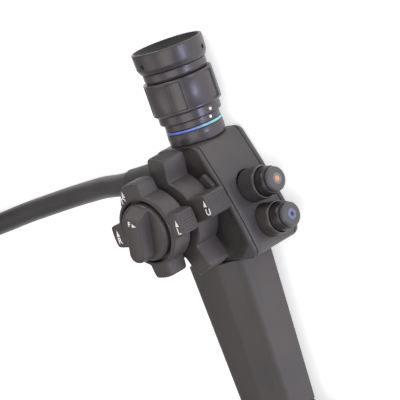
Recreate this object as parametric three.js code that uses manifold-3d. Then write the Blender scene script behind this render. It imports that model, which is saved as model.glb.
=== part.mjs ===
// A flexible endoscope's control section with its eyepiece and umbilical cord, in millimetres.
// It lies on its left side: +X is the front with the valves, +Y points to the eyepiece, and
// +Z is up, along the axis of the angulation knobs. The origin is on the left cover's flat
// outer face, straight below the knobs, so that z = 0 is the surface it rests on.
import * as THREE from "three";
import { mergeVertices } from "three/addons/utils/BufferGeometryUtils.js";
import Module from "manifold-3d";

const wasm = await Module();
wasm.setup();
const { Manifold, Mesh: SolidMesh } = wasm;

// Driving dimensions

const GAP = 0.3; // between neighbours that touch on the real instrument
const RUN = 0.4; // radial clearance between the knobs' concentric shafts

const BODY = {
  back: -17.9,
  top: 32.4,
  bottom: -33.6,
  front: [
    [36.5, -33.6],
    [33.0, -15.6],
    [26.4, 9.4],
    [18.4, 32.4],
  ],
  coverTop: 5,
  right: 39.1,
  wall: 2.6,
};

const EYE = {
  x: 3.0,
  z: 20.3,
  bore: 11,
  barrel: 13.5,
  sleeve: 13.8,
  collarEnd: 39.4,
  ringEnd: 41.1,
  indexEnd: 45.1,
  skirtEnd: 50.9,
  dioptreEnd: 69.2,
  neckEnd: 74.7,
  rim: 86.9,
};

const SHAFT = {
  spindle: 2.0,
  rl: 3.8,
  sleeve: 5.2,
  ud: 6.6,
  drum: 8.4,
  bearing: 10.5,
};

const LEVEL = {
  plate: 12,
  plateTop: 13.5,
  rlDrum: 13.8,
  rlDrumTop: 20.6,
  bracket: 20.9,
  udDrum: 22.2,
  udDrumTop: 29.5,
  lever: 39.6,
  leverTop: 42.4,
  udKnob: 43.1,
  udKnobTop: 59.1,
  rlKnob: 63.1,
  rlKnobTop: 75.8,
  lockTop: 86,
};

const UD_KNOB = { lobes: 5, first: 7.5, half: 9.8, flank: 8, out: 34.3, valley: 22.5 };
const RL_KNOB = { lobes: 4, first: 2.5, half: 12, flank: 9, out: 26.8, valley: 20 };

const WIRE = {
  x: 8.9,
  rlLevel: 17.2,
  udLevel: 25.8,
  rod: 0.9,
  ferrule: 1.6,
  start: -22,
  end: -68,
  guide: -56,
  guideLength: 8,
};

const VALVE = {
  tilt: 5,
  level: 19.6,
  places: { suction: [30.9, 1.9], air_water: [32.9, -18.6] },
  boss: 9.3,
  bossTop: 9,
  well: 8.3,
  wellFloor: 3.2,
  tube: 6,
  tubeEnd: -13,
  bore: 3.4,
  button: 7.9,
  stem: 3.0,
};

// The grip's section from its back to its front face: half its depth, where its flat side
// ends, the inner corner of the step beside the front face, and the front face's own edge.
const GRIP = {
  top: -34,
  end: -126,
  z: 23.1,
  back: -19.6,
  corner: 6,
  wall: 2.2,
  atTop: { depth: 18, side: 5.3, step: [14.6, 13.1], front: [19.7, 12.4] },
  atEnd: { depth: 14.3, side: 0.4, step: [9.4, 11.3], front: [15.5, 10.5] },
};

const PORT = { start: -126.3, end: -155, place: -148, angle: 35, radius: 6.2, length: 18 };
const GLAND = { start: -155.3, end: -168, radius: 11.4, socket: 6.2, depth: 10 };

const CORD = { radius: 6.4, sides: 10 };
const BOOT = { start: [-18.3, 15.6, 18.4], end: [-66, 11.7, 14.4], root: 9.4, tip: 7.4 };
const COIL = { x: -271, y: 66, inner: 56.9, outer: 83.1, bottom: 1.6, shoulder: 14.2, top: 25.6 };
const PLUG = { x: -217, y: 152.4, z: 21, radius: 20.7, boot: 46, body: 62, prong: 34 };

// Colours of the finishes

const finishes = {
  shell: { color: 0x4b484b, roughness: 0.5, metalness: 0 },
  knob: { color: 0x454247, roughness: 0.55, metalness: 0 },
  rubber: { color: 0x3c3a3d, roughness: 0.75, metalness: 0 },
  steel: { color: 0xb9bcc0, roughness: 0.3, metalness: 1 },
  brass: { color: 0xb6924c, roughness: 0.35, metalness: 1 },
  black: { color: 0x242426, roughness: 0.4, metalness: 0 },
  blue: { color: 0x2f7fd0, roughness: 0.4, metalness: 0 },
  glass: { color: 0x9db3bd, roughness: 0.05, metalness: 0 },
  fibre: { color: 0x8f8a80, roughness: 0.6, metalness: 0 },
};

// Helpers for solids

const root = new THREE.Group();
const degrees = THREE.MathUtils.degToRad;

function solid(geometry) {
  const bare = new THREE.BufferGeometry();
  bare.setAttribute("position", geometry.getAttribute("position").clone());
  if (geometry.index) bare.setIndex(geometry.index.clone());
  const merged = mergeVertices(bare, 1e-4);
  const corners = [];
  for (let i = 0; i < merged.index.count; i += 3) {
    const [a, b, c] = [0, 1, 2].map((k) => merged.index.getX(i + k));
    if (a !== b && b !== c && c !== a) corners.push(a, b, c);
  }
  const build = (triangles) =>
    new Manifold(
      new SolidMesh({
        numProp: 3,
        vertProperties: new Float32Array(merged.attributes.position.array),
        triVerts: new Uint32Array(triangles),
      }),
    );
  const made = build(corners);
  return made.volume() < 0 ? build([...corners].reverse()) : made;
}

function piece(name, finish, shape) {
  const data = shape.getMesh();
  const geometry = new THREE.BufferGeometry();
  geometry.setAttribute("position", new THREE.BufferAttribute(data.vertProperties, 3));
  geometry.setIndex(new THREE.BufferAttribute(data.triVerts, 1));
  geometry.computeVertexNormals();
  const mesh = new THREE.Mesh(geometry, new THREE.MeshStandardMaterial(finishes[finish]));
  mesh.name = name;
  root.add(mesh);
}

// A turned shape about +Y. A profile that starts off the axis closes on itself.
function turned(profile, segments = 24) {
  const points = profile.map(([r, y]) => new THREE.Vector2(r, y));
  const onAxis = profile[0][0] === 0 && profile.at(-1)[0] === 0;
  if (!onAxis) points.push(points[0].clone());
  return new THREE.LatheGeometry(points, segments);
}

const tube = (inner, outer, low, high, segments) =>
  turned(
    [
      [inner, low],
      [outer, low],
      [outer, high],
      [inner, high],
    ],
    segments,
  );

const rod = (radius, low, high, segments = 16) =>
  turned(
    [
      [0, low],
      [radius, low],
      [radius, high],
      [0, high],
    ],
    segments,
  );

const upright = (geometry) => solid(geometry.rotateX(Math.PI / 2));
const onEyeAxis = (geometry) => solid(geometry.translate(EYE.x, 0, EYE.z));

// A flat outline raised from one height to another, with both rims bevelled.
function plate(points, low, high, bevel = 0, steps = 2) {
  const isShape = points instanceof THREE.Shape;
  const shape = isShape ? points : new THREE.Shape(points.map((p) => new THREE.Vector2(...p)));
  const geometry = new THREE.ExtrudeGeometry(shape, {
    depth: high - low - 2 * bevel,
    bevelEnabled: bevel > 0,
    bevelThickness: bevel,
    bevelSize: bevel,
    bevelOffset: -bevel,
    bevelSegments: steps,
    curveSegments: 2,
  });
  return solid(geometry.translate(0, 0, low + bevel));
}

function box(x0, x1, y0, y1, z0, z1) {
  const geometry = new THREE.BoxGeometry(x1 - x0, y1 - y0, z1 - z0);
  return solid(geometry.translate((x0 + x1) / 2, (y0 + y1) / 2, (z0 + z1) / 2));
}

// A polygon, anticlockwise, with each corner rounded by an arc of its own radius. A corner
// with no radius stays sharp, and may point inwards.
function rounded(points, radii) {
  const outline = new THREE.Shape();
  const count = points.length;
  points.forEach(([x, y], i) => {
    if (radii[i] === 0) {
      outline.lineTo(x, y);
      return;
    }
    const here = new THREE.Vector2(x, y);
    const before = new THREE.Vector2(...points[(i + count - 1) % count]).sub(here).normalize();
    const after = new THREE.Vector2(...points[(i + 1) % count]).sub(here).normalize();
    const half = Math.acos(before.dot(after)) / 2;
    const reach = radii[i] / Math.sin(half);
    const middle = before.clone().add(after).normalize().multiplyScalar(reach).add(here);
    const from = Math.atan2(before.x, -before.y);
    outline.absarc(middle.x, middle.y, radii[i], from, from + Math.PI - 2 * half, false);
  });
  outline.closePath();
  return outline;
}

// A round section swept along a smooth route.
function hose(route, radius, sides, steps) {
  const curve = new THREE.CatmullRomCurve3(route.map((p) => new THREE.Vector3(...p)));
  const section = new THREE.Shape();
  for (let i = 0; i < sides; i++) {
    const turn = (2 * Math.PI * i) / sides;
    const [x, y] = [radius * Math.cos(turn), radius * Math.sin(turn)];
    if (i === 0) section.moveTo(x, y);
    else section.lineTo(x, y);
  }
  section.closePath();
  const geometry = new THREE.ExtrudeGeometry(section, { extrudePath: curve, steps });
  return solid(geometry);
}

// A turned shape with its +Y axis laid from one point towards another.
function aimed(geometry, from, towards) {
  const start = new THREE.Vector3(...from);
  const direction = new THREE.Vector3(...towards).sub(start).normalize();
  const turn = new THREE.Quaternion().setFromUnitVectors(new THREE.Vector3(0, 1, 0), direction);
  return solid(geometry.applyQuaternion(turn).translate(start.x, start.y, start.z));
}

// Valve places

const valveTilt = degrees(VALVE.tilt);
const valvePoint = ([x, y], along) => [
  x + along * Math.cos(valveTilt),
  y + along * Math.sin(valveTilt),
  VALVE.level,
];
const onValve = (geometry, place) => aimed(geometry, valvePoint(place, 0), valvePoint(place, 1));

// Body outline and the wall inside it

const bodyPoints = (inset) => {
  const slopes = BODY.front.map(([x, y]) => [x - inset, y]);
  slopes[0][1] += inset;
  slopes[3][1] -= inset;
  return [
    [BODY.back + inset, BODY.bottom + inset],
    ...slopes,
    [BODY.back + inset, BODY.top - inset],
  ];
};
const bodyOutline = rounded(bodyPoints(0), [7, 5.4, 7, 7, 5.4, 7]);
const bodyCavity = rounded(bodyPoints(BODY.wall), [3.5, 3.5, 3.5, 3.5, 2, 2]);
const screwPlaces = [
  [-9.3, 24],
  [9.6, 24.4],
  [15.5, -26],
];
const screw = { head: 2.8, shank: 1.4, hole: 1.75, post: 3.1, sink: 0.4, headEnd: 2.2, end: 22 };

// Body housing: a tray open to the left, with the right wall on top and screw posts inside

let housing = plate(bodyOutline, BODY.coverTop - 4, BODY.right, 2.4)
  .subtract(box(-60, 60, -60, 60, -10, BODY.coverTop + GAP))
  .subtract(plate(bodyCavity, 0, BODY.right - BODY.wall));
for (const [x, y] of screwPlaces)
  housing = housing
    .add(upright(rod(screw.post, LEVEL.plateTop + GAP, BODY.right - 1, 8)).translate([x, y, 0]))
    .subtract(upright(rod(screw.hole, 0, screw.end + 1, 8)).translate([x, y, 0]));
for (const place of Object.values(VALVE.places))
  housing = housing.subtract(onValve(rod(VALVE.boss + GAP, -9, 20, 20), place));
housing = housing
  .subtract(onEyeAxis(rod(EYE.barrel + GAP, 28, 40, 24)))
  .subtract(upright(rod(SHAFT.bearing + GAP, 30, 50, 20)))
  .subtract(aimed(rod(5, -3, 12, 16), BOOT.start, [BOOT.start[0] + 9, BOOT.start[1], BOOT.start[2]]))
  .subtract(box(-14, 10.5, -40, -28, LEVEL.plate - GAP, 35));
piece("body_housing", "shell", housing);

// Left cover: the shallow lid that the instrument lies on, and its four screws

let cover = plate(bodyOutline, 0, 3 * BODY.coverTop, BODY.coverTop - 0.5, 2)
  .subtract(box(-60, 60, -60, 60, BODY.coverTop, 20))
  .subtract(plate(rounded(bodyPoints(5.2), [3, 3, 3, 3, 2, 2]), 2.6, 9));
for (const [x, y] of screwPlaces)
  cover = cover
    .add(upright(rod(screw.post, 2, LEVEL.plate - GAP, 8)).translate([x, y, 0]))
    .subtract(upright(rod(screw.hole, -1, 15, 8)).translate([x, y, 0]))
    .subtract(upright(rod(screw.head + GAP, -1, screw.headEnd + GAP, 10)).translate([x, y, 0]));
piece("left_cover", "shell", cover);

screwPlaces.forEach(([x, y], i) => {
  const turnedScrew = turned(
    [
      [0, screw.sink],
      [screw.head, screw.sink],
      [screw.head, screw.headEnd],
      [screw.shank, screw.headEnd],
      [screw.shank, screw.end],
      [0, screw.end],
    ],
    8,
  );
  const slot = box(x - screw.head, x + screw.head, y - 0.4, y + 0.4, 0, screw.sink + 0.7);
  piece(`cover_screw_${i + 1}`, "steel", upright(turnedScrew).translate([x, y, 0]).subtract(slot));
});

// Chassis plate: the metal frame between cover and housing, with a tongue down the grip

const tongue = box(-12, -3, -117, -28, LEVEL.plate, LEVEL.plateTop);
let chassis = plate(
  rounded(
    [
      [-14, -29.5],
      [31, -29.5],
      [22, 8],
      [14, 28],
      [-14, 28],
    ],
    [2, 2, 2, 2, 2],
  ),
  LEVEL.plate,
  LEVEL.plateTop,
).add(tongue);
for (const [x, y] of screwPlaces)
  chassis = chassis.subtract(upright(rod(screw.hole, 5, 20, 12)).translate([x, y, 0]));
for (const place of Object.values(VALVE.places))
  chassis = chassis.subtract(onValve(rod(VALVE.boss, VALVE.tubeEnd - 1, 20, 16), place));
piece("chassis_plate", "steel", chassis);

// Spindle, shafts and drums of the two angulation knobs, all about the knob axis

const spindleEnd = 83.6;
piece("knob_spindle", "steel", upright(rod(SHAFT.spindle, LEVEL.plateTop + GAP, spindleEnd, 12)));
piece(
  "rl_shaft",
  "steel",
  upright(tube(SHAFT.spindle + RUN, SHAFT.rl, LEVEL.rlDrum + GAP, LEVEL.rlKnobTop - 4.3, 14)),
);

const sleeveInner = SHAFT.rl + RUN;
const bracketArm = box(-3.5, 3.5, 4.6, 14, LEVEL.bracket, LEVEL.bracket + 1);
const bracketLeg = box(-3.5, 3.5, 11.4, 14, LEVEL.plateTop + GAP, LEVEL.bracket + 1);
piece(
  "centre_sleeve",
  "steel",
  upright(tube(sleeveInner, SHAFT.sleeve, LEVEL.bracket, LEVEL.rlKnob - 0.5, 16))
    .add(bracketArm)
    .add(bracketLeg),
);
piece(
  "ud_shaft",
  "steel",
  upright(tube(SHAFT.sleeve + RUN, SHAFT.ud, LEVEL.udDrum, LEVEL.udKnobTop - 0.6, 18)),
);

function drum(low, high, inner) {
  const groove = SHAFT.drum - 0.9;
  return upright(
    turned(
      [
        [inner, low],
        [SHAFT.drum, low],
        [SHAFT.drum, low + 1.2],
        [groove, low + 2],
        [groove, high - 2],
        [SHAFT.drum, high - 1.2],
        [SHAFT.drum, high],
        [inner, high],
      ],
      18,
    ),
  );
}
piece("rl_drum", "brass", drum(LEVEL.rlDrum, LEVEL.rlDrumTop, SHAFT.rl + GAP));
piece("ud_drum", "brass", drum(LEVEL.udDrum, LEVEL.udDrumTop, SHAFT.ud + GAP));

const bearingTop = 46.2;
const bearingFlange = BODY.right - BODY.wall - GAP;
piece(
  "bearing_sleeve",
  "steel",
  upright(
    turned(
      [
        [SHAFT.ud + RUN, bearingFlange - 2],
        [13, bearingFlange - 2],
        [13, bearingFlange],
        [SHAFT.bearing, bearingFlange],
        [SHAFT.bearing, bearingTop],
        [SHAFT.ud + RUN, bearingTop],
      ],
      20,
    ),
  ),
);

// Lobed knobs

function lobedOutline({ lobes, first, half, flank, out, valley }) {
  const points = [];
  const pitch = 360 / lobes;
  const dip = [0.08, 0.5, 0.92];
  const polar = (radius, angle) => [
    radius * Math.cos(degrees(angle)),
    radius * Math.sin(degrees(angle)),
  ];
  for (let k = 0; k < lobes; k++) {
    const middle = first + k * pitch;
    const side = (sign) =>
      dip.map((share, i) =>
        polar(out - (out - valley) * share, middle + sign * (half + (flank * (i + 0.5)) / 3)),
      );
    points.push(...side(-1).reverse());
    for (const turn of [-1, 0, 1]) points.push(polar(out, middle + turn * half));
    points.push(...side(1));
    const gap = pitch - 2 * (half + flank);
    for (const share of [0.25, 0.75])
      points.push(polar(valley, middle + half + flank + gap * share));
  }
  return points;
}

const udRecess = { radius: 18.5, floor: 47.2 };
piece(
  "ud_knob",
  "knob",
  plate(lobedOutline(UD_KNOB), LEVEL.udKnob, LEVEL.udKnobTop, 0.8, 1)
    .subtract(upright(rod(SHAFT.ud + GAP, 30, 70, 24)))
    .subtract(upright(rod(udRecess.radius, 40, udRecess.floor, 28))),
);
piece("ud_brake_disc", "rubber", upright(tube(SHAFT.bearing + GAP, 17.6, 43.6, 46.2, 20)));

const rlRecess = { radius: 17.6, floor: 72.6 };
piece(
  "rl_knob",
  "knob",
  plate(lobedOutline(RL_KNOB), LEVEL.rlKnob, LEVEL.rlKnobTop, 0.8, 1)
    .subtract(upright(rod(SHAFT.rl + GAP, 60, 80, 20)))
    .subtract(upright(rod(rlRecess.radius, rlRecess.floor, 80, 28))),
);
piece(
  "rl_brake_disc",
  "rubber",
  upright(tube(SHAFT.spindle + GAP, 15.5, rlRecess.floor + GAP, 74.0, 20)),
);

// Locks: a lever under the big knob and a winged knob on the end of the spindle

const lever = { ring: 19.5, angle: 32, tabTo: 26, halfWidth: 4.6 };
const leverArm = box(10, lever.tabTo, -lever.halfWidth, lever.halfWidth, LEVEL.lever, LEVEL.leverTop);
piece(
  "ud_lock_lever",
  "knob",
  upright(rod(lever.ring, LEVEL.lever, LEVEL.leverTop, 32))
    .add(leverArm.rotate([0, 0, lever.angle]))
    .subtract(upright(rod(SHAFT.bearing + GAP, 30, 50, 28))),
);

const lockWing = {
  disc: 16,
  discTop: 78.4,
  bottom: 74.3,
  length: 30.5,
  width: 10.4,
  turn: -16,
  slopeFrom: 10.8,
  slope: 58,
};
const wingOutline = rounded(
  [
    [-lockWing.width / 2, -lockWing.length / 2],
    [lockWing.width / 2, -lockWing.length / 2],
    [lockWing.width / 2, lockWing.length / 2],
    [-lockWing.width / 2, lockWing.length / 2],
  ],
  [4, 4, 4, 4],
);
const wingSlope = box(-20, 20, 0, 20, 0, 20)
  .rotate([-lockWing.slope, 0, 0])
  .translate([0, lockWing.slopeFrom, LEVEL.lockTop]);
piece(
  "rl_lock_knob",
  "knob",
  upright(
    turned(
      [
        [0, lockWing.bottom],
        [lockWing.disc, lockWing.bottom],
        [lockWing.disc, lockWing.discTop - 1],
        [lockWing.disc - 1, lockWing.discTop],
        [0, lockWing.discTop],
      ],
      32,
    ),
  )
    .add(
      plate(wingOutline, lockWing.discTop - 2, LEVEL.lockTop, 1.4, 2)
        .subtract(wingSlope)
        .rotate([0, 0, lockWing.turn]),
    )
    .subtract(upright(rod(SHAFT.spindle + GAP, 60, spindleEnd + GAP, 16))),
);

// Angulation wires: each pull rod with its stop slides in the guide block in the grip

const wirePlaces = {
  up: [WIRE.x, WIRE.udLevel],
  down: [-WIRE.x, WIRE.udLevel],
  left: [WIRE.x, WIRE.rlLevel],
  right: [-WIRE.x, WIRE.rlLevel],
};
for (const [side, [x, z]] of Object.entries(wirePlaces)) {
  const pull = turned(
    [
      [0, WIRE.end],
      [WIRE.rod, WIRE.end],
      [WIRE.rod, WIRE.start - 8],
      [WIRE.ferrule, WIRE.start - 7.4],
      [WIRE.ferrule, WIRE.start - 2.6],
      [WIRE.rod, WIRE.start - 2],
      [WIRE.rod, WIRE.start],
      [0, WIRE.start],
    ],
    8,
  );
  piece(`${side}_wire_rod`, "steel", solid(pull.translate(x, 0, z)));
}

const bundle = {
  radius: 1.8,
  image: [2.4, 21.6],
  light: [-5.6, 21.6],
  water: [1.5, 31],
  suction: [-6, 32],
};
const guideEnd = WIRE.guide + WIRE.guideLength;
let guide = box(-13.5, 10.6, WIRE.guide, guideEnd, LEVEL.plateTop + GAP, 29.6).subtract(
  box(7.4, 12, WIRE.guide - 1, guideEnd + 1, LEVEL.plate, 15.5),
);
for (const [x, z] of Object.values(wirePlaces))
  guide = guide.subtract(solid(rod(WIRE.rod + GAP, -80, -40, 12).translate(x, 0, z)));
for (const [x, z] of [bundle.image, bundle.light])
  guide = guide.subtract(solid(rod(bundle.radius + GAP, -80, -40, 12).translate(x, 0, z)));
guide = guide.subtract(box(-9, 5, -80, -40, 28.6, 40));
piece("wire_guide_block", "brass", guide);

// Eyepiece, from the body outwards

piece(
  "eyepiece_barrel",
  "black",
  onEyeAxis(tube(EYE.bore, EYE.barrel, 28.6, EYE.rim - 6.3, 24)).subtract(
    box(EYE.x - 1.3, EYE.x + 1.3, 58, 66, EYE.z, EYE.z + 20),
  ),
);
const collarBottom = BODY.top + GAP;
piece(
  "base_collar",
  "knob",
  onEyeAxis(
    turned(
      [
        [EYE.sleeve, collarBottom],
        [15.6, collarBottom],
        [16, collarBottom + 4],
        [15.8, EYE.collarEnd],
        [EYE.sleeve, EYE.collarEnd],
      ],
      28,
    ),
  ),
);
piece("colour_ring", "blue", onEyeAxis(tube(EYE.sleeve, 15.8, EYE.collarEnd + GAP, EYE.ringEnd, 28)));
piece("index_collar", "knob", onEyeAxis(tube(EYE.sleeve, 15.6, EYE.ringEnd + GAP, EYE.indexEnd, 28)));

const dioptre = { grip: 19.4, channel: 18.5, skirt: 17.5, pads: 5, channelHalf: 11, first: 34.7 };
let dioptreRing = onEyeAxis(
  turned(
    [
      [EYE.sleeve, EYE.indexEnd + GAP],
      [dioptre.skirt, EYE.indexEnd + GAP],
      [dioptre.skirt, EYE.skirtEnd - 1],
      [dioptre.grip, EYE.skirtEnd],
      [dioptre.grip, EYE.dioptreEnd - 0.6],
      [dioptre.grip - 0.6, EYE.dioptreEnd],
      [EYE.sleeve, EYE.dioptreEnd],
      [EYE.sleeve, 66.5],
      [15.3, 66.5],
      [15.3, 57.5],
      [EYE.sleeve, 57.5],
    ],
    28,
  ),
);
for (let k = 0; k < dioptre.pads; k++) {
  const half = dioptre.channel * Math.tan(degrees(dioptre.channelHalf));
  const channel = box(-half, half, EYE.skirtEnd + 1.4, EYE.dioptreEnd - 1.6, dioptre.channel, 24);
  dioptreRing = dioptreRing.subtract(
    channel.rotate([0, dioptre.first + (360 / dioptre.pads) * k, 0]).translate([EYE.x, 0, EYE.z]),
  );
}
piece("dioptre_ring", "knob", dioptreRing);

piece(
  "eyepiece_neck",
  "knob",
  onEyeAxis(
    turned(
      [
        [EYE.sleeve, EYE.dioptreEnd + GAP],
        [17.2, EYE.dioptreEnd + GAP],
        [17.8, EYE.dioptreEnd + 1.4],
        [17.8, EYE.neckEnd],
        [EYE.sleeve, EYE.neckEnd],
      ],
      28,
    ),
  ),
);

const bowl = { window: 9, floor: 13, depth: 5.7, rim: 18.7 };
const bowlFloor = EYE.rim - bowl.depth;
piece(
  "eyecup",
  "rubber",
  onEyeAxis(
    turned(
      [
        [EYE.sleeve, EYE.neckEnd + GAP],
        [18.4, EYE.neckEnd + GAP],
        [19.8, EYE.neckEnd + 2.8],
        [20.1, EYE.rim - 0.8],
        [19.9, EYE.rim],
        [bowl.rim, EYE.rim],
        [17.2, EYE.rim - 2.2],
        [bowl.floor, bowlFloor],
        [bowl.window, bowlFloor],
        [bowl.window, EYE.rim - 6],
        [EYE.sleeve, EYE.rim - 6],
      ],
      28,
    ),
  ),
);

const cellOuter = EYE.bore - GAP;
const cellPin = new THREE.CylinderGeometry(0.9, 0.9, 4.4, 10).rotateX(Math.PI / 2);
piece(
  "lens_cell",
  "black",
  onEyeAxis(tube(9.4, cellOuter, 56, 71, 20)).add(
    solid(cellPin.translate(EYE.x, 62, EYE.z + cellOuter + 1.6)),
  ),
);
piece(
  "ocular_lens",
  "glass",
  onEyeAxis(
    turned(
      [
        [0, 62.2],
        [5, 62.9],
        [9.1, 64.6],
        [9.1, 67],
        [5, 68.4],
        [0, 69],
      ],
      16,
    ),
  ),
);
piece("ocular_window", "glass", onEyeAxis(rod(EYE.bore - GAP, EYE.rim - 8.2, EYE.rim - 6.4, 20)));
piece(
  "bundle_holder",
  "brass",
  onEyeAxis(tube(bundle.radius + GAP, EYE.bore - GAP, 39, 44, 18)),
);

// Fibre bundles and channel tubes

const gripBottom = GRIP.end - 8;
piece(
  "image_bundle",
  "fibre",
  hose(
    [
      [EYE.x, 45, EYE.z],
      [EYE.x, 34, EYE.z],
      [EYE.x, 27, EYE.z + 0.2],
      [7.4, 18, EYE.z + 1],
      [10.9, 8, 21.6],
      [11, -2, 21.6],
      [9.4, -13, 21.6],
      [5, -26, 21.6],
      [2.6, -40, 21.6],
      [bundle.image[0], -60, bundle.image[1]],
      [1, -90, 22],
      [0, gripBottom, 22.6],
    ],
    bundle.radius,
    6,
    26,
  ),
);
piece(
  "light_guide_bundle",
  "fibre",
  hose(
    [
      [-14.4, 16.4, 18.6],
      [-13.2, 10, 20.4],
      [-12.6, 2, 21.5],
      [-11.6, -8, 21.6],
      [-8.4, -20, 21.6],
      [-6, -38, 21.6],
      [bundle.light[0], -60, bundle.light[1]],
      [-6, -90, 22],
      [-6, gripBottom, 22.6],
    ],
    bundle.radius,
    6,
    24,
  ),
);
const suctionStart = valvePoint(VALVE.places.suction, VALVE.tubeEnd - 0.8);
const waterStart = valvePoint(VALVE.places.air_water, VALVE.tubeEnd - 0.8);
piece(
  "suction_tube",
  "black",
  hose(
    [
      suctionStart,
      [15.4, 0, 20.4],
      [14.6, -3.5, 24],
      [14.6, -9, 27.5],
      [9.5, -17, 32],
      [0, -28, 32.6],
      [-5.4, -42, 32.2],
      [bundle.suction[0], -60, bundle.suction[1]],
      [-6, -90, 31.6],
      [-6, gripBottom + 1, 30.6],
    ],
    2,
    6,
    26,
  ),
);
piece(
  "air_water_tube",
  "black",
  hose(
    [
      waterStart,
      [16.6, -20, 20.6],
      [13.4, -21, 26.6],
      [7.6, -27, 31.4],
      [3, -37, 31.4],
      [bundle.water[0], -60, bundle.water[1]],
      [0, -90, 29.6],
      [-1, gripBottom + 1, 28.6],
    ],
    1.6,
    6,
    24,
  ),
);

// Valves: a cylinder through the front wall, and a sprung button in its well

for (const [name, place] of Object.entries(VALVE.places)) {
  const cylinder = turned(
    [
      [VALVE.bore, VALVE.tubeEnd],
      [VALVE.tube, VALVE.tubeEnd],
      [VALVE.tube, -4.6],
      [VALVE.boss, -2.8],
      [VALVE.boss, VALVE.bossTop - 0.8],
      [VALVE.boss - 0.4, VALVE.bossTop],
      [VALVE.well, VALVE.bossTop],
      [VALVE.well, VALVE.wellFloor],
      [VALVE.bore, VALVE.wellFloor],
    ],
    20,
  );
  piece(`${name}_cylinder`, "shell", onValve(cylinder, place));
  const button = turned(
    [
      [0, VALVE.tubeEnd + 5],
      [VALVE.stem, VALVE.tubeEnd + 5],
      [VALVE.stem, 8.4],
      [VALVE.button, 8.4],
      [VALVE.button, 14.6],
      [7.4, 15.4],
      [6.2, 16],
      [6, 18],
      [5.4, 18.6],
      [0, 18.6],
    ],
    20,
  );
  piece(`${name}_button`, "rubber", onValve(button, place));
  const turns = 3.5;
  const coils = [];
  for (let i = 0; i <= turns * 8; i++) {
    const turn = (2 * Math.PI * i) / 8;
    coils.push([5.2 * Math.cos(turn), VALVE.wellFloor + 0.9 + (3.7 * i) / (turns * 8), 5.2 * Math.sin(turn)]);
  }
  const helix = new THREE.CatmullRomCurve3(coils.map((p) => new THREE.Vector3(...p)));
  const wire = new THREE.Shape();
  wire.moveTo(0.35, 0).lineTo(0, 0.35).lineTo(-0.35, 0).lineTo(0, -0.35).closePath();
  const spring = new THREE.ExtrudeGeometry(wire, { extrudePath: helix, steps: turns * 8 });
  piece(`${name}_spring`, "steel", onValve(spring, place));
}

// Grip: a tapering hollow sleeve with a straight back, and the port block below it

function gripSection({ depth, side, step, front }) {
  const [stepX, stepZ] = step;
  const [frontX, frontZ] = front;
  return [
    [GRIP.back, -depth],
    [side, -depth],
    [stepX, -stepZ],
    [frontX, -frontZ],
    [frontX, frontZ],
    [stepX, stepZ],
    [side, depth],
    [GRIP.back, depth],
  ];
}

// A polygon, anticlockwise, whose corners move to where its edges meet when all go inwards.
function inset(points, distance) {
  const count = points.length;
  const normals = points.map(([x, y], i) => {
    const [nextX, nextY] = points[(i + 1) % count];
    return new THREE.Vector2(nextY - y, x - nextX).normalize();
  });
  return points.map(([x, y], i) => {
    const before = normals[(i + count - 1) % count];
    const after = normals[i];
    const share = distance / (1 + before.dot(after));
    return [x - (before.x + after.x) * share, y - (before.y + after.y) * share];
  });
}

function gripOutline(section, deep) {
  const corner = GRIP.corner - deep * 0.7;
  return rounded(inset(gripSection(section), deep), [corner, 3, 0, 2, 2, 0, 3, corner]);
}

function gripLoft(deep, low, high) {
  const arcSteps = 3;
  const topOutline = gripOutline(GRIP.atTop, deep);
  const topPoints = topOutline.extractPoints(arcSteps).shape;
  const endPoints = gripOutline(GRIP.atEnd, deep).extractPoints(arcSteps).shape;
  const geometry = new THREE.ExtrudeGeometry(topOutline, {
    depth: high - low,
    bevelEnabled: false,
    curveSegments: arcSteps,
  });
  const place = geometry.getAttribute("position");
  for (let i = 0; i < place.count; i++) {
    const here = new THREE.Vector2(place.getX(i), place.getY(i));
    const gaps = topPoints.map((p) => p.distanceTo(here));
    const end = endPoints[gaps.indexOf(Math.min(...gaps))];
    const y = high - place.getZ(i);
    const down = (GRIP.top - y) / (GRIP.top - GRIP.end);
    const there = here.lerp(end, down);
    place.setXYZ(i, there.x, y, GRIP.z + there.y);
  }
  return solid(geometry);
}
piece(
  "grip_sleeve",
  "shell",
  gripLoft(0, GRIP.end, GRIP.top).subtract(gripLoft(GRIP.wall, GRIP.end - 1, GRIP.top + 1)),
);

const endMiddle = (GRIP.back + GRIP.atEnd.front[0]) / 2;
const endPlate = (deep, from, to, bevel = 0) =>
  plate(gripOutline(GRIP.atEnd, deep), 0, from - to, bevel, 1)
    .rotate([90, 0, 0])
    .translate([0, from, GRIP.z]);
const portFrom = [endMiddle + 8.5, PORT.place, GRIP.z];
const portTo = [
  portFrom[0] + Math.cos(degrees(PORT.angle)),
  portFrom[1] + Math.sin(degrees(PORT.angle)),
  GRIP.z,
];
const glandAxis = (geometry) => solid(geometry.translate(endMiddle, 0, GRIP.z));
const portSpout = aimed(rod(PORT.radius, 0, PORT.length, 20), portFrom, portTo);
piece(
  "port_block",
  "shell",
  endPlate(0, PORT.start, PORT.end, 1.2)
    .subtract(endPlate(3.6, PORT.start + 5, PORT.end + 8))
    .add(portSpout.subtract(endPlate(2.6, PORT.start + 9, PORT.end + 8)))
    .subtract(aimed(rod(2.2, 2, PORT.length + 4, 12), portFrom, portTo))
    .subtract(glandAxis(rod(4.2, PORT.end - 4, PORT.end + 14, 16))),
);
piece(
  "biopsy_cap",
  "rubber",
  aimed(
    turned(
      [
        [1.6, PORT.length + GAP],
        [PORT.radius, PORT.length + GAP],
        [PORT.radius + 1.2, PORT.length + 1.4],
        [PORT.radius + 1.2, PORT.length + 4.6],
        [PORT.radius - 0.6, PORT.length + 6],
        [1.6, PORT.length + 6],
      ],
      20,
    ),
    portFrom,
    portTo,
  ),
);
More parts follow.
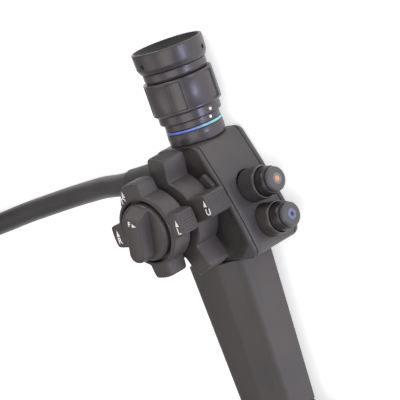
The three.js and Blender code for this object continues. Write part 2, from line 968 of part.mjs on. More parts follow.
piece(
  "insertion_gland",
  "black",
  glandAxis(
    turned(
      [
        [4.4, GLAND.start],
        [4.4, GLAND.end + GLAND.depth],
        [GLAND.socket, GLAND.end + GLAND.depth],
        [GLAND.socket, GLAND.end],
        [GLAND.radius - 2, GLAND.end],
        [GLAND.radius - 1, GLAND.end + 2],
        [GLAND.radius, GLAND.start - 4],
        [GLAND.radius, GLAND.start],
      ],
      28,
    ),
  ),
);

// Umbilical cord: its tapered boot, the stretch on the floor, the stored coil and its tie

const bootStart = new THREE.Vector3(...BOOT.start);
const bootEnd = new THREE.Vector3(...BOOT.end);
const bootLength = bootStart.distanceTo(bootEnd);
const bootWay = bootEnd.clone().sub(bootStart).normalize();
const backWall = box(BODY.back - GAP, 0, -60, 60, -20, 60);
piece(
  "umbilical_boot",
  "rubber",
  aimed(
    turned(
      [
        [3, -4],
        [BOOT.root + 1.2, -4],
        [BOOT.root + 1.2, 3],
        [BOOT.root, 4.2],
        [BOOT.root - 0.9, 20],
        [BOOT.tip + 0.2, 38],
        [BOOT.tip, bootLength],
        [3, bootLength],
      ],
      28,
    ),
    BOOT.start,
    BOOT.end,
  ).subtract(backWall),
);

const cordStart = bootEnd.clone().addScaledVector(bootWay, GAP);
const cordNext = bootEnd.clone().addScaledVector(bootWay, 13);
const outerTurn = 76.6;
const innerTurn = 63.8;
const cordRoute = [
  cordStart.toArray(),
  cordNext.toArray(),
  [-95, 10, 10.6],
  [-112, 8.2, 8.2],
  [-131, 6, 6.7],
  [-152, 3.4, 6.5],
  [-175, 0.4, 6.5],
  [-200, -3.6, 6.6],
  [-222, -6.8, 7.0],
  [-246, -9.4, 7.6],
];
const coilSpace = upright(rod(COIL.outer + GAP, -5, 40, 40)).translate([COIL.x, COIL.y, 0]);
piece("umbilical_tube", "rubber", hose(cordRoute, CORD.radius, CORD.sides, 12).subtract(coilSpace));

const coilSection = [
  [COIL.inner, COIL.bottom + 4],
  [COIL.inner + 3, COIL.bottom],
  [COIL.outer - 3, COIL.bottom],
  [COIL.outer, COIL.bottom + 4],
  [COIL.outer, COIL.bottom + 9],
  [outerTurn, COIL.top],
  [innerTurn, COIL.top],
  [COIL.inner, COIL.shoulder - 4],
];
piece("umbilical_coil", "rubber", upright(turned(coilSection, 32)).translate([COIL.x, COIL.y, 0]));

const tieAngle = 205;
const tieSection = (grow) => [
  [COIL.inner - grow, COIL.bottom - grow],
  [COIL.outer + grow, COIL.bottom - grow],
  [COIL.outer + grow, COIL.bottom + 10],
  [outerTurn + 0.7 * grow, COIL.top + grow],
  [innerTurn - 0.7 * grow, COIL.top + grow],
  [COIL.inner - grow, COIL.bottom + 10],
];
const tieStrip = (grow, width) =>
  plate(tieSection(grow), -width / 2, width / 2).rotate([90, 0, 0]);
piece(
  "coil_tie",
  "black",
  tieStrip(1.6, 12)
    .subtract(tieStrip(0.7, 20))
    .rotate([0, 0, tieAngle])
    .translate([COIL.x, COIL.y, 0]),
);

// Light-source connector on the cord's far end, lying beside the coil

const plugFrom = [PLUG.x, PLUG.y, PLUG.z];
const plugTo = [PLUG.x + 1, PLUG.y, PLUG.z];
const onPlug = (geometry) => aimed(geometry, plugFrom, plugTo);
piece(
  "connector_boot",
  "rubber",
  onPlug(
    turned(
      [
        [3, -PLUG.boot],
        [7.4, -PLUG.boot],
        [9.4, -PLUG.boot + 30],
        [11, -6],
        [11, -GAP],
        [3, -GAP],
      ],
      24,
    ),
  ),
);
piece(
  "connector_housing",
  "shell",
  onPlug(
    turned(
      [
        [0, 0],
        [12.5, 0],
        [17.5, 4],
        [18.6, 9],
        [18.6, 40],
        [PLUG.radius, 42],
        [PLUG.radius, 47],
        [17, 49],
        [16, PLUG.body],
        [0, PLUG.body],
      ],
      32,
    ),
  ),
);
piece(
  "light_guide_prong",
  "steel",
  onPlug(
    turned(
      [
        [0, PLUG.body + GAP],
        [6.4, PLUG.body + GAP],
        [6.4, PLUG.body + 5],
        [4.6, PLUG.body + 6],
        [4.6, PLUG.body + PLUG.prong - 1],
        [3.9, PLUG.body + PLUG.prong],
        [0, PLUG.body + PLUG.prong],
      ],
      20,
    ),
  ),
);
piece(
  "air_pipe",
  "steel",
  onPlug(tube(1.2, 2.4, PLUG.body + GAP, PLUG.body + 20, 14).translate(0, 0, 11)),
);

export default root;
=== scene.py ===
"""A flexible endoscope's control section with its eyepiece and umbilical cord, in metres."""
import math

import bmesh
import bpy
from mathutils import Matrix, Vector


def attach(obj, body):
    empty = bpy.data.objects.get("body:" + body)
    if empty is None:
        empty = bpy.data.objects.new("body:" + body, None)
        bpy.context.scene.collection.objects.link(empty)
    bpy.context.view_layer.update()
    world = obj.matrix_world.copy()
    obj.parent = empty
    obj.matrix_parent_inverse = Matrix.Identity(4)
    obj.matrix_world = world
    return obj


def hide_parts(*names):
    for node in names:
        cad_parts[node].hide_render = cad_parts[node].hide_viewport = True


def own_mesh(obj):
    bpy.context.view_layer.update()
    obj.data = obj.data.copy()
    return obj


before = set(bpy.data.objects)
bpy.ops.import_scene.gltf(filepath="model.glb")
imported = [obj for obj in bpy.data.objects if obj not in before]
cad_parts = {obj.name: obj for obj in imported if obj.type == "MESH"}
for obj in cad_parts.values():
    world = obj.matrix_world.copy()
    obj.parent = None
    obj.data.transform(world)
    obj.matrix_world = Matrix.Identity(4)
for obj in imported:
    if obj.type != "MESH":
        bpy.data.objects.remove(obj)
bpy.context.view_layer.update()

# Studio: a white table under the instrument, big soft lamps above it, in front and behind, a
# small cool one low on the right for a streak on round parts, and a pale, even room.
AROUND = math.radians(46.7)
ABOVE = math.radians(9.5)
LEAN = math.radians(-19.2)
VIEW_DISTANCE = 1.3
FOCAL_PIXELS = 2405
FRAME_PIXELS = 400
SENSOR_MM = 36
AIM = Vector((0.0059, 0.0324, 0.0231))
AIM_PIXEL = (199, 139)

back = Vector((math.sin(AROUND) * math.cos(ABOVE), math.sin(ABOVE), math.cos(AROUND) * math.cos(ABOVE)))
level_right = Vector((0, 1, 0)).cross(back).normalized()
level_up = back.cross(level_right)
right = level_right * math.cos(LEAN) + level_up * math.sin(LEAN)
up = level_up * math.cos(LEAN) - level_right * math.sin(LEAN)
pan_right = (FRAME_PIXELS / 2 - AIM_PIXEL[0]) / FOCAL_PIXELS
pan_down = (FRAME_PIXELS / 2 - AIM_PIXEL[1]) / FOCAL_PIXELS
camera_back = (back - right * pan_right + up * pan_down).normalized()
camera_right = up.cross(camera_back).normalized()
camera_up = camera_back.cross(camera_right)

camera = bpy.data.objects.new("camera", bpy.data.cameras.new("camera"))
bpy.context.scene.collection.objects.link(camera)
camera.data.sensor_width = SENSOR_MM
camera.data.lens = FOCAL_PIXELS * SENSOR_MM / FRAME_PIXELS
camera.data.clip_end = 20
turn = Matrix((camera_right, camera_up, camera_back)).transposed()
camera.matrix_world = Matrix.Translation(AIM + back * VIEW_DISTANCE) @ turn.to_4x4()
bpy.context.scene.camera = camera
bpy.context.scene.view_settings.view_transform = "Standard"


def lamp(name, offset, size, watts, colour):
    """A square soft lamp at an offset from the aimed-at point, facing the instrument."""
    light = bpy.data.lights.new(name, "AREA")
    light.size = size
    light.energy = watts
    light.color = colour
    made = bpy.data.objects.new(name, light)
    bpy.context.scene.collection.objects.link(made)
    towards = Vector(offset)
    made.location = AIM + towards
    made.rotation_euler = towards.to_track_quat("Z", "Y").to_euler()


lamp("key_lamp", (0.75, 0.6, 0.55), 0.5, 1.6, (1.0, 0.98, 0.94))
lamp("front_lamp", (0.5, -0.15, 0.85), 0.7, 4.0, (1.0, 0.96, 0.94))
lamp("top_lamp", (-0.15, 0.9, 0.5), 0.4, 3.6, (1.0, 0.98, 0.92))
lamp("left_lamp", (-0.45, -0.2, 0.95), 0.6, 1.8, (1.0, 0.94, 0.91))
lamp("edge_lamp", (0.97, -0.1, 0.09), 0.18, 3.2, (0.62, 0.66, 1.0))

room = bpy.data.worlds.new("room")
room.use_nodes = True
room.node_tree.nodes["Background"].inputs["Color"].default_value = (1, 1, 1, 1)
room.node_tree.nodes["Background"].inputs["Strength"].default_value = 0.32
bpy.context.scene.world = room


class Signal:
    """A socket of a finish, so that sums on it read as plain sums and add their Math nodes."""

    def __init__(self, finish, socket):
        self.finish = finish
        self.socket = socket

    def sum_of(self, operation, first, second):
        return self.finish.node("ShaderNodeMath", {"operation": operation}, {0: first, 1: second})

    def __add__(self, other):
        return self.sum_of("ADD", self, other)

    def __sub__(self, other):
        return self.sum_of("SUBTRACT", self, other)

    def __rsub__(self, other):
        return self.sum_of("SUBTRACT", other, self)

    def __mul__(self, other):
        return self.sum_of("MULTIPLY", self, other)

    __radd__ = __add__
    __rmul__ = __mul__


class Finish:
    """One material: its shader, and the one way in which its other nodes are added."""

    def __init__(self, name):
        self.material = bpy.data.materials.new(name)
        self.material.use_nodes = True
        self.tree = self.material.node_tree
        self.shader = self.tree.nodes["Principled BSDF"]

    def node(self, kind, settings, inputs, output=0):
        made = self.tree.nodes.new(kind)
        for name, value in settings.items():
            if name == "stops":
                for stop, (place, shade) in zip(made.color_ramp.elements, value):
                    stop.position = place
                    stop.color = (shade, shade, shade, 1)
            else:
                setattr(made, name, value)
        for name, value in inputs.items():
            self.feed(made.inputs[name], value)
        return Signal(self, made.outputs[output])

    def feed(self, socket, value):
        if isinstance(value, Signal):
            self.tree.links.new(value.socket, socket)
        else:
            socket.default_value = value

    def surface(self, values):
        for name, value in values.items():
            self.feed(self.shader.inputs[name], value)
        return self

    def place(self):
        return self.node("ShaderNodeTexCoord", {}, {}, "Object")

    def noise(self, scale, detail=3.0, where=None):
        inputs = {"Vector": where or self.place(), "Scale": scale, "Detail": detail}
        return self.node("ShaderNodeTexNoise", {}, inputs, "Fac")

    def stretched(self, factors):
        """Object coordinates, longer or shorter along each axis, for a brushed or drawn grain."""
        return self.node("ShaderNodeMapping", {}, {"Vector": self.place(), "Scale": factors})

    def ramp(self, value, low, high):
        stops = [(low, 0), (high, 1)]
        return self.node("ShaderNodeValToRGB", {"stops": stops}, {"Fac": value})

    def mix(self, share, first, second):
        colours = {0: share, 6: (*first, 1), 7: (*second, 1)}
        return self.node("ShaderNodeMix", {"data_type": "RGBA"}, colours, 2)

    def relief(self, height, depth, strength=1.0):
        inputs = {"Height": height, "Distance": depth, "Strength": strength}
        return self.node("ShaderNodeBump", {}, inputs)


table_finish = Finish("table_white")
speckle = table_finish.noise(60, 2)
table_finish.surface(
    {
        "Base Color": table_finish.mix(speckle, (0.93, 0.93, 0.935), (0.95, 0.95, 0.95)),
        "Roughness": 0.7,
        "Emission Color": (1, 1, 1, 1),
        "Emission Strength": 0.56,
    }
)
TABLE_HALF = 4
table_mesh = bpy.data.meshes.new("table")
table_corners = [(-1, -1), (1, -1), (1, 1), (-1, 1)]
table_mesh.from_pydata([(x * TABLE_HALF, y * TABLE_HALF, 0) for x, y in table_corners], [], [(0, 1, 2, 3)])
table_mesh.materials.append(table_finish.material)
table = bpy.data.objects.new("table", table_mesh)
bpy.context.scene.collection.objects.link(table)

# Umbilical cord: a 12.8 mm hose of black polyurethane over the light guide, air, water and
# suction lines, drawn in one length. It leaves the boot, comes down to the table and is wound
# for storage: two turns side by side on the table, and the last in the furrow between them.
MM = 0.001
CORD_RADIUS = 6.4 * MM
COIL_MIDDLE = Vector((-271, 66)) * MM
OUTER_TURN = 76.6 * MM
INNER_TURN = 63.8 * MM
UPPER_TURN = 70.2 * MM
FLOOR_LEVEL = 8.0 * MM
UPPER_LEVEL = 19.2 * MM
CROSSING_LEVEL = 20.9 * MM
CORD_STEP = 3.5 * MM

# Degrees round the coil between which the cord moves inwards, outwards, up and down to rest.
MOVES_IN = (203, 345)
MOVES_OUT = (520, 580)
CLIMBS = (488, 562)
SETTLES = (700, 760)

BOOT_START = Vector((-18.3, 15.6, 18.4)) * MM
BOOT_END = Vector((-66, 11.7, 14.4)) * MM
BOOT_GAP = 0.3 * MM
BOOT_LEAD = 13 * MM
boot_way = (BOOT_END - BOOT_START).normalized()
floor_route = [
    (-95, 10, 10.6),
    (-112, 8.2, 8.2),
    (-131, 6, 6.7),
    (-152, 3.4, 6.5),
    (-175, 0.4, 6.5),
    (-200, -3.6, 6.6),
    (-222, -6.8, 7.0),
    (-246, -9.4, 7.6),
]
plug_route = [
    (-321.6, 118.7, 20.6),
    (-313.4, 130.1, 21.2),
    (-302.9, 139.5, 21.2),
    (-290.7, 146.6, 21.0),
    (-277.3, 150.9, 21.0),
    (-263.3, 152.4, 21.0),
]


def smooth_step(low, high, value):
    share = min(max((value - low) / (high - low), 0), 1)
    return share * share * (3 - 2 * share)


def coil_point(travel):
    """A point of the coil after so many degrees of clockwise travel from its lowest point."""
    inwards = smooth_step(*MOVES_IN, travel)
    outwards = smooth_step(*MOVES_OUT, travel)
    radius = OUTER_TURN + (INNER_TURN - OUTER_TURN) * inwards + (UPPER_TURN - INNER_TURN) * outwards
    climb = smooth_step(*CLIMBS, travel)
    settle = smooth_step(*SETTLES, travel)
    level = FLOOR_LEVEL + (CROSSING_LEVEL - FLOOR_LEVEL) * climb
    level += (UPPER_LEVEL - CROSSING_LEVEL) * settle
    angle = math.radians(-90 - travel)
    x = COIL_MIDDLE.x + radius * math.cos(angle)
    y = COIL_MIDDLE.y + radius * math.sin(angle)
    return Vector((x, y, level))


def through(points, step):
    """Points a step apart on the smooth curve that passes through all the given ones."""
    made = []
    for i in range(len(points) - 1):
        before = points[max(i - 1, 0)]
        here, there = points[i], points[i + 1]
        after = points[min(i + 2, len(points) - 1)]
        parts = max(int((there - here).length / step), 1)
        for part in range(parts):
            t = part / parts
            made.append(
                0.5
                * (
                    2 * here
                    + (there - before) * t
                    + (2 * before - 5 * here + 4 * there - after) * t * t
                    + (3 * here - before - 3 * there + after) * t ** 3
                )
            )
    return made + [points[-1]]


COIL_END = 841
TURN_STEP = 20
cord_points = [BOOT_END + boot_way * BOOT_GAP, BOOT_END + boot_way * BOOT_LEAD]
cord_points += [Vector(p) * MM for p in floor_route]
cord_points += [coil_point(travel) for travel in range(0, COIL_END, TURN_STEP)]
cord_points += [Vector(p) * MM for p in plug_route]
cord_path = through(cord_points, CORD_STEP)
cord_length = sum((b - a).length for a, b in zip(cord_path, cord_path[1:]))


def link(name, mesh, material):
    """A new object at the origin that shows the mesh in one material."""
    mesh.name = name
    mesh.materials.clear()
    mesh.materials.append(material)
    made = bpy.data.objects.new(name, mesh)
    bpy.context.scene.collection.objects.link(made)
    return made


def skinned(rings, ends, crease=35):
    """Rings with equal counts of points, joined by quads. ends is capped, joined or open."""
    count = len(rings[0])
    faces = []
    for i in range(len(rings) if ends == "joined" else len(rings) - 1):
        low = i * count
        high = (i + 1) % len(rings) * count
        for k in range(count):
            after = (k + 1) % count
            faces.append((low + k, low + after, high + after, high + k))
    if ends == "capped":
        last = (len(rings) - 1) * count
        faces.append(tuple(reversed(range(count))))
        faces.append(tuple(range(last, last + count)))
    mesh = bpy.data.meshes.new("skin")
    mesh.from_pydata([p for ring in rings for p in ring], [], faces)
    return settled(mesh, crease)


def settled(mesh, crease=35):
    """Doubles merged, faces turned outwards, smooth but for edges sharper than the crease."""
    work = bmesh.new()
    work.from_mesh(mesh)
    bmesh.ops.remove_doubles(work, verts=work.verts, dist=2e-6)
    bmesh.ops.dissolve_degenerate(work, edges=work.edges, dist=1e-7)
    bmesh.ops.recalc_face_normals(work, faces=work.faces)
    work.to_mesh(mesh)
    work.free()
    mesh.shade_smooth()
    mesh.set_sharp_from_angle(angle=math.radians(crease))
    return mesh


def swept(path, radius, sides=24):
    """A round hose along a path, its rings carried along without twist."""
    rings = []
    across = Vector((0, 0, 1))
    for i, point in enumerate(path):
        ahead = (path[min(i + 1, len(path) - 1)] - path[max(i - 1, 0)]).normalized()
        across = (across - ahead * across.dot(ahead)).normalized()
        beside = ahead.cross(across)
        turns = [2 * math.pi * k / sides for k in range(sides)]
        rings.append([point + (across * math.cos(a) + beside * math.sin(a)) * radius for a in turns])
    return skinned(rings, "capped", 60)


sheath = Finish("polyurethane_sheath")
sheath_grain = sheath.noise(900, 3)
sheath_marks = sheath.ramp(sheath.noise(35, 5), 0.42, 0.7)
sheath.surface(
    {
        "Base Color": sheath.mix(sheath_marks, (0.043, 0.041, 0.044), (0.056, 0.052, 0.053)),
        "Roughness": 0.38 + 0.14 * sheath_grain + 0.05 * sheath_marks,
        "Normal": sheath.relief(sheath_grain, 0.00002),
    }
)
cord = link("umbilical_cord", swept(cord_path, CORD_RADIUS), sheath.material)
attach(cord, "control_section")
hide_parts("umbilical_tube", "umbilical_coil")


# Boots: tapered sleeves of soft black rubber, moulded on, that keep the cord from kinking.
# One is screwed to the back of the body and one to the connector, each with a shallow lip.
def softened(points, radius, closed, steps=4):
    """A profile whose corners are eased, each by a small curve no longer than the radius."""
    made = []
    count = len(points)
    for i, point in enumerate(points):
        here = Vector(point)
        if not closed and i in (0, count - 1):
            made.append(here)
            continue
        before = Vector(points[i - 1]) - here
        after = Vector(points[(i + 1) % count]) - here
        start = here + before.normalized() * min(radius, before.length * 0.45)
        end = here + after.normalized() * min(radius, after.length * 0.45)
        for step in range(steps + 1):
            t = step / steps
            made.append(start * (1 - t) ** 2 + here * 2 * t * (1 - t) + end * t * t)
    return made


def axis_at(start, along):
    """The place of a turned piece: its axis runs from the start point along a direction."""
    turn = Vector((0, 0, 1)).rotation_difference(Vector(along)).to_matrix().to_4x4()
    return Matrix.Translation(start) @ turn


def turned(profile, place, ease=0.4, segments=96, crease=35):
    """A turned piece. The profile is radius and distance along the axis, in millimetres."""
    on_axis = profile[0][0] == 0 and profile[-1][0] == 0
    rings = []
    for radius, along in softened(profile, ease, not on_axis):
        angles = [2 * math.pi * k / segments for k in range(segments)]
        ring = [Vector((radius * math.cos(a), radius * math.sin(a), along)) * MM for a in angles]
        rings.append([place @ point for point in ring])
    return skinned(rings, "capped" if on_axis else "joined", crease)


def moulded(name, cool, warm, roughness, grain=2600, depth=0.00002):
    """Moulded plastic: two near shades in soft clouds, a fine spark-eroded grain, faint handling sheen."""
    made = Finish(name)
    clouds = made.ramp(made.noise(42, 2), 0.36, 0.64)
    grains = made.noise(grain, 2)
    handled = made.ramp(made.noise(90, 4), 0.35, 0.75)
    made.surface(
        {
            "Base Color": made.mix(clouds, cool, warm),
            "Roughness": roughness + 0.09 * grains - 0.07 * handled,
            "Normal": made.relief(grains, depth),
        }
    )
    return made.material


boot_rubber = moulded("boot_rubber", (0.034, 0.033, 0.036), (0.043, 0.040, 0.041), 0.56)
BOOT_PROFILE = [
    (3, -2),
    (10.6, -2),
    (10.6, 2.6),
    (9.4, 4.2),
    (9.2, 9),
    (8.6, 20),
    (7.7, 36),
    (7.4, 47.5),
    (7.0, 48),
    (6.5, 48),
    (6.5, 40),
    (3, 39),
]
boot = link("cord_boot", turned(BOOT_PROFILE, axis_at(BOOT_START, boot_way), 0.8), boot_rubber)
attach(boot, "control_section")
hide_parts("umbilical_boot")

PLUG = Vector((-217, 152.4, 21)) * MM
PLUG_BOOT_PROFILE = [
    (3, -46),
    (6.6, -46),
    (7.4, -45.4),
    (8.2, -34),
    (9.4, -17),
    (10.4, -7),
    (11.2, -6),
    (11.2, -0.3),
    (3, -0.3),
]
plug_axis = axis_at(PLUG, (1, 0, 0))
plug_boot = link("connector_sleeve", turned(PLUG_BOOT_PROFILE, plug_axis, 0.8), boot_rubber)
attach(plug_boot, "control_section")
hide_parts("connector_boot")

# Light source connector: a glass-filled plastic barrel with a knurled grip band. The light
# guide's prong and the thin air pipe, both of plated steel, stand out of its nose.
connector_plastic = moulded("connector_plastic", (0.044, 0.042, 0.045), (0.055, 0.050, 0.051), 0.45)
CONNECTOR_PROFILE = [
    (0, 0),
    (12.3, 0),
    (15.5, 2.2),
    (18, 6),
    (18.6, 9),
    (18.6, 12),
    (18.1, 12.6),
    (18.1, 33),
    (18.6, 33.6),
    (18.6, 40),
    (20.5, 42),
    (20.7, 43),
    (20.7, 46.4),
    (19.4, 47.4),
    (17, 49),
    (16.2, 50),
    (16, 61.4),
    (15.4, 62),
    (0, 62),
]
connector = link("connector_barrel", turned(CONNECTOR_PROFILE, plug_axis, 0.8), connector_plastic)
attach(connector, "control_section")
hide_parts("connector_housing")


class Tree:
    """A Geometry Nodes tree with named inputs, run once on a base mesh and made plain."""

    def __init__(self, name, inputs):
        self.tree = bpy.data.node_groups.new(name, "GeometryNodeTree")
        self.wanted = {}
        for label, (kind, value) in inputs.items():
            made = self.tree.interface.new_socket(label, in_out="INPUT", socket_type=kind)
            self.wanted[made.identifier] = value
        self.tree.interface.new_socket("Geometry", in_out="OUTPUT", socket_type="NodeSocketGeometry")
        self.entry = self.tree.nodes.new("NodeGroupInput")

    def given(self, label):
        return self.entry.outputs[label]

    def node(self, kind, settings, inputs, output=0):
        made = self.tree.nodes.new(kind)
        for name, value in settings.items():
            setattr(made, name, value)
        for name, value in inputs.items():
            if isinstance(value, bpy.types.NodeSocket):
                self.tree.links.new(value, made.inputs[name])
            else:
                made.inputs[name].default_value = value
        return made.outputs[output]

    def maths(self, operation, first, second):
        return self.node("ShaderNodeMath", {"operation": operation}, {0: first, 1: second})

    def about_axis(self, angle):
        return self.node("ShaderNodeCombineXYZ", {}, {2: angle})

    def copies(self, points, shape, turn=None):
        inputs = {"Points": points, "Instance": shape}
        if turn is not None:
            inputs["Rotation"] = turn
        return self.node("GeometryNodeInstanceOnPoints", {}, inputs)

    def run(self, name, geometry, place, material):
        """Realizes the geometry, sets its material, and gives one plain object in its place."""
        real = self.node("GeometryNodeRealizeInstances", {}, {"Geometry": geometry})
        dressed = self.node("GeometryNodeSetMaterial", {}, {"Geometry": real, "Material": material})
        exit_node = self.tree.nodes.new("NodeGroupOutput")
        self.tree.links.new(dressed, exit_node.inputs[0])
        base = bpy.data.objects.new("base", bpy.data.meshes.new("base"))
        bpy.context.scene.collection.objects.link(base)
        modifier = base.modifiers.new("tree", "NODES")
        modifier.node_group = self.tree
        for identifier, value in self.wanted.items():
            modifier[identifier] = value
        graph = bpy.context.evaluated_depsgraph_get()
        mesh = bpy.data.meshes.new_from_object(base.evaluated_get(graph))
        bpy.data.objects.remove(base)
        mesh.transform(place)
        return link(name, settled(mesh, 40), material)


WHOLE = "NodeSocketInt"
SIZE = "NodeSocketFloat"


def bars_round(name, count, radius, first, last, thick, place, material):
    """A ring of slim round-edged bars laid along an axis, as on a knurled band."""
    given = {
        "Bars": (WHOLE, count),
        "Radius": (SIZE, radius * MM),
        "Length": (SIZE, (last - first) * MM),
        "Middle": (SIZE, (first + last) / 2 * MM),
        "Thickness": (SIZE, thick * MM),
    }
    tree = Tree(name, given)
    ring = tree.node(
        "GeometryNodeMeshCircle",
        {},
        {"Vertices": tree.given("Bars"), "Radius": tree.given("Radius")},
    )
    bar = tree.node(
        "GeometryNodeMeshCylinder",
        {},
        {"Vertices": 8, "Radius": tree.given("Thickness"), "Depth": tree.given("Length")},
    )
    lift = tree.node("ShaderNodeCombineXYZ", {}, {2: tree.given("Middle")})
    moved = tree.node("GeometryNodeTransform", {}, {"Geometry": bar, "Translation": lift})
    return tree.run(name, tree.copies(ring, moved), place, material)


band = bars_round("connector_grip_band", 60, 18.15, 14, 31.5, 0.55, plug_axis, connector_plastic)
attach(band, "control_section")


def metal(name, colour, dark, roughness, grain_along):
    """Bare machined metal: fine tool marks round or along the piece, and a few duller patches."""
    made = Finish(name)
    marks = made.noise(1.0, 4, made.stretched(grain_along))
    patches = made.ramp(made.noise(120, 3), 0.4, 0.7)
    made.surface(
        {
            "Base Color": made.mix(patches, colour, dark),
            "Metallic": 1.0,
            "Roughness": roughness + 0.16 * marks + 0.06 * patches,
            "Normal": made.relief(marks, 0.00001),
        }
    )
    return made.material


plated = metal("plated_steel", (0.62, 0.63, 0.65), (0.50, 0.50, 0.51), 0.2, (2600, 200, 200))
PRONG_PROFILE = [
    (0, 62.3),
    (6.4, 62.3),
    (6.4, 66.4),
    (5.6, 67.4),
    (4.6, 68),
    (4.6, 78),
    (4.2, 78.3),
    (4.2, 79.3),
    (4.6, 79.6),
    (4.6, 95),
    (3.9, 96),
    (2.7, 96),
    (2.6, 95.2),
    (0, 95.2),
]
prong = link("light_prong", turned(PRONG_PROFILE, plug_axis, 0.3, 64), plated)
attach(prong, "control_section")
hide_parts("light_guide_prong")
PIPE_PROFILE = [(1.2, 62.3), (3.1, 62.3), (3.1, 64.6), (2.4, 65.2), (2.4, 81.4), (2.1, 82), (1.2, 82)]
pipe_axis = axis_at(PLUG + Vector((0, 0, 11)) * MM, (1, 0, 0))
pipe = link("air_tube", turned(PIPE_PROFILE, pipe_axis, 0.2, 40), plated)
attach(pipe, "control_section")
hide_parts("air_pipe")

# Coil tie: a black woven hook-and-loop strap, cut to 12 mm and wrapped once round the three
# strands of the stored cord, where it closes on itself.
TIE_ANGLE = math.radians(205)
TIE_WIDTH = 12 * MM
TIE_THICK = 0.9 * MM
TIE_CLEAR = 0.45 * MM
TIE_TOP = UPPER_LEVEL - 0.1 * MM
TIE_STEPS = 12
tie_turns = [
    Vector((INNER_TURN, FLOOR_LEVEL)),
    Vector((OUTER_TURN, FLOOR_LEVEL)),
    Vector((UPPER_TURN, TIE_TOP)),
]


def tie_loop(reach):
    """The strap's line round the three cords, seen along them: an arc on each, straights between."""
    made = []
    for i, here in enumerate(tie_turns):
        before = here - tie_turns[i - 1]
        after = tie_turns[(i + 1) % len(tie_turns)] - here
        first = math.atan2(-before.x, before.y)
        sweep = before.angle(after)
        for step in range(TIE_STEPS + 1):
            angle = first + sweep * step / TIE_STEPS
            made.append(here + Vector((math.cos(angle), math.sin(angle))) * reach)
    return made


tie_place = Matrix.Translation(COIL_MIDDLE.to_3d()) @ Matrix.Rotation(TIE_ANGLE, 4, "Z")
tie_rings = []
for reach, side in ((0, -1), (TIE_THICK, -1), (TIE_THICK, 1), (0, 1)):
    loop = tie_loop(CORD_RADIUS + TIE_CLEAR + reach)
    tie_rings.append([tie_place @ Vector((p.x, side * TIE_WIDTH / 2, p.y)) for p in loop])
webbing = Finish("woven_webbing")
thread = {"Vector": webbing.place(), "Scale": 900.0}
weave_across = webbing.node("ShaderNodeTexWave", {}, thread)
weave_along = webbing.node("ShaderNodeTexWave", {"bands_direction": "Z"}, thread)
weave = weave_across * weave_along
webbing.surface(
    {
        "Base Color": webbing.mix(weave, (0.02, 0.02, 0.022), (0.05, 0.05, 0.053)),
        "Roughness": 0.85,
        "Normal": webbing.relief(weave, 0.0001),
    }
)
tie = link("tie_strap", skinned(tie_rings, "joined"), webbing.material)
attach(tie, "control_section")
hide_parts("coil_tie")

# Body: a deep housing and a shallow left cover, both moulded in charcoal glass-filled plastic.
# The right side has a round hollow for the knobs and a raised edge along the sloping front,
# with a shadow groove beside it. The cover is held by three screws from the left.
BODY_CORNERS = [(-17.9, -33.6), (36.5, -33.6), (33.0, -15.6), (26.4, 9.4), (18.4, 32.4), (-17.9, 32.4)]
BODY_ROUNDING = [7, 5.4, 7, 7, 5.4, 7]
BODY_SEAM = 5
BODY_FOOT = BODY_SEAM + 0.3
BODY_CEILING = 36.5
BODY_WALL = 2.6
BODY_SKIN = 1.1
BODY_STEP = 1.2
EDGE_LEVEL = 39.2
EDGE_WIDTH = (2.2, 8.5)
HOLLOW_LEVEL = 36.1
HUB_LEVEL = 37.6
HUB_RADIUS = (14.5, 20)
HOLLOW_RADIUS = (33, 41)
SLEEVE_RADIUS = 10.8
RIM_BEAD = 1.5
RIM_STEP = 0.02
FACE_RINGS = 64
FACE_SPREAD = 1.35
CEILING_RINGS = 12

# Each ring's distance inside the outline, and its level, up the side and over the rim's groove.
SIDE_RINGS = [
    (0.35, BODY_FOOT),
    (0, BODY_SEAM + 0.65),
    (0, 14),
    (0, 24),
    (0, 33),
    (0, 36.3),
    (0.25, 36.7),
    (0.75, 36.8),
    (0.75, 37.1),
    (0.3, 37.25),
]


def rounded(points, radii, steps=8):
    """A polygon, anticlockwise, with an arc at each corner. A corner with no radius stays sharp."""
    made = []
    count = len(points)
    for i, point in enumerate(points):
        here = Vector(point)
        if radii[i] == 0:
            made.append(here)
            continue
        before = (Vector(points[i - 1]) - here).normalized()
        after = (Vector(points[(i + 1) % count]) - here).normalized()
        half = before.angle(after) / 2
        middle = here + (before + after).normalized() * radii[i] / math.sin(half)
        first = math.atan2(before.x, -before.y)
        for step in range(steps + 1):
            angle = first + (math.pi - 2 * half) * step / steps
            made.append(middle + radii[i] * Vector((math.cos(angle), math.sin(angle))))
    return made


def divided(outline, longest):
    """The outline with more points, so that no edge is longer than asked."""
    made = []
    for i, here in enumerate(outline):
        there = outline[(i + 1) % len(outline)]
        parts = max(math.ceil((there - here).length / longest), 1)
        made += [here.lerp(there, part / parts) for part in range(parts)]
    return made


def shrunk(outline, distance):
    """The outline with every edge moved inwards, and the same count of points."""
    made = []
    for i, here in enumerate(outline):
        before = (here - outline[i - 1]).normalized()
        after = (outline[(i + 1) % len(outline)] - here).normalized()
        across = Vector((before.y + after.y, -before.x - after.x))
        made.append(here - across * distance * 2 / across.length_squared)
    return made


def at_level(outline, level):
    return [Vector((p.x, p.y, level)) * MM for p in outline]


def front_distance(x, y):
    """How far a point lies behind the sloping front, in millimetres."""
    reach = []
    for (x0, y0), (x1, y1) in zip(BODY_CORNERS[1:4], BODY_CORNERS[2:5]):
        along = Vector((x1 - x0, y1 - y0)).normalized()
        reach.append(along.y * (x0 - x) - along.x * (y0 - y))
    return min(reach)


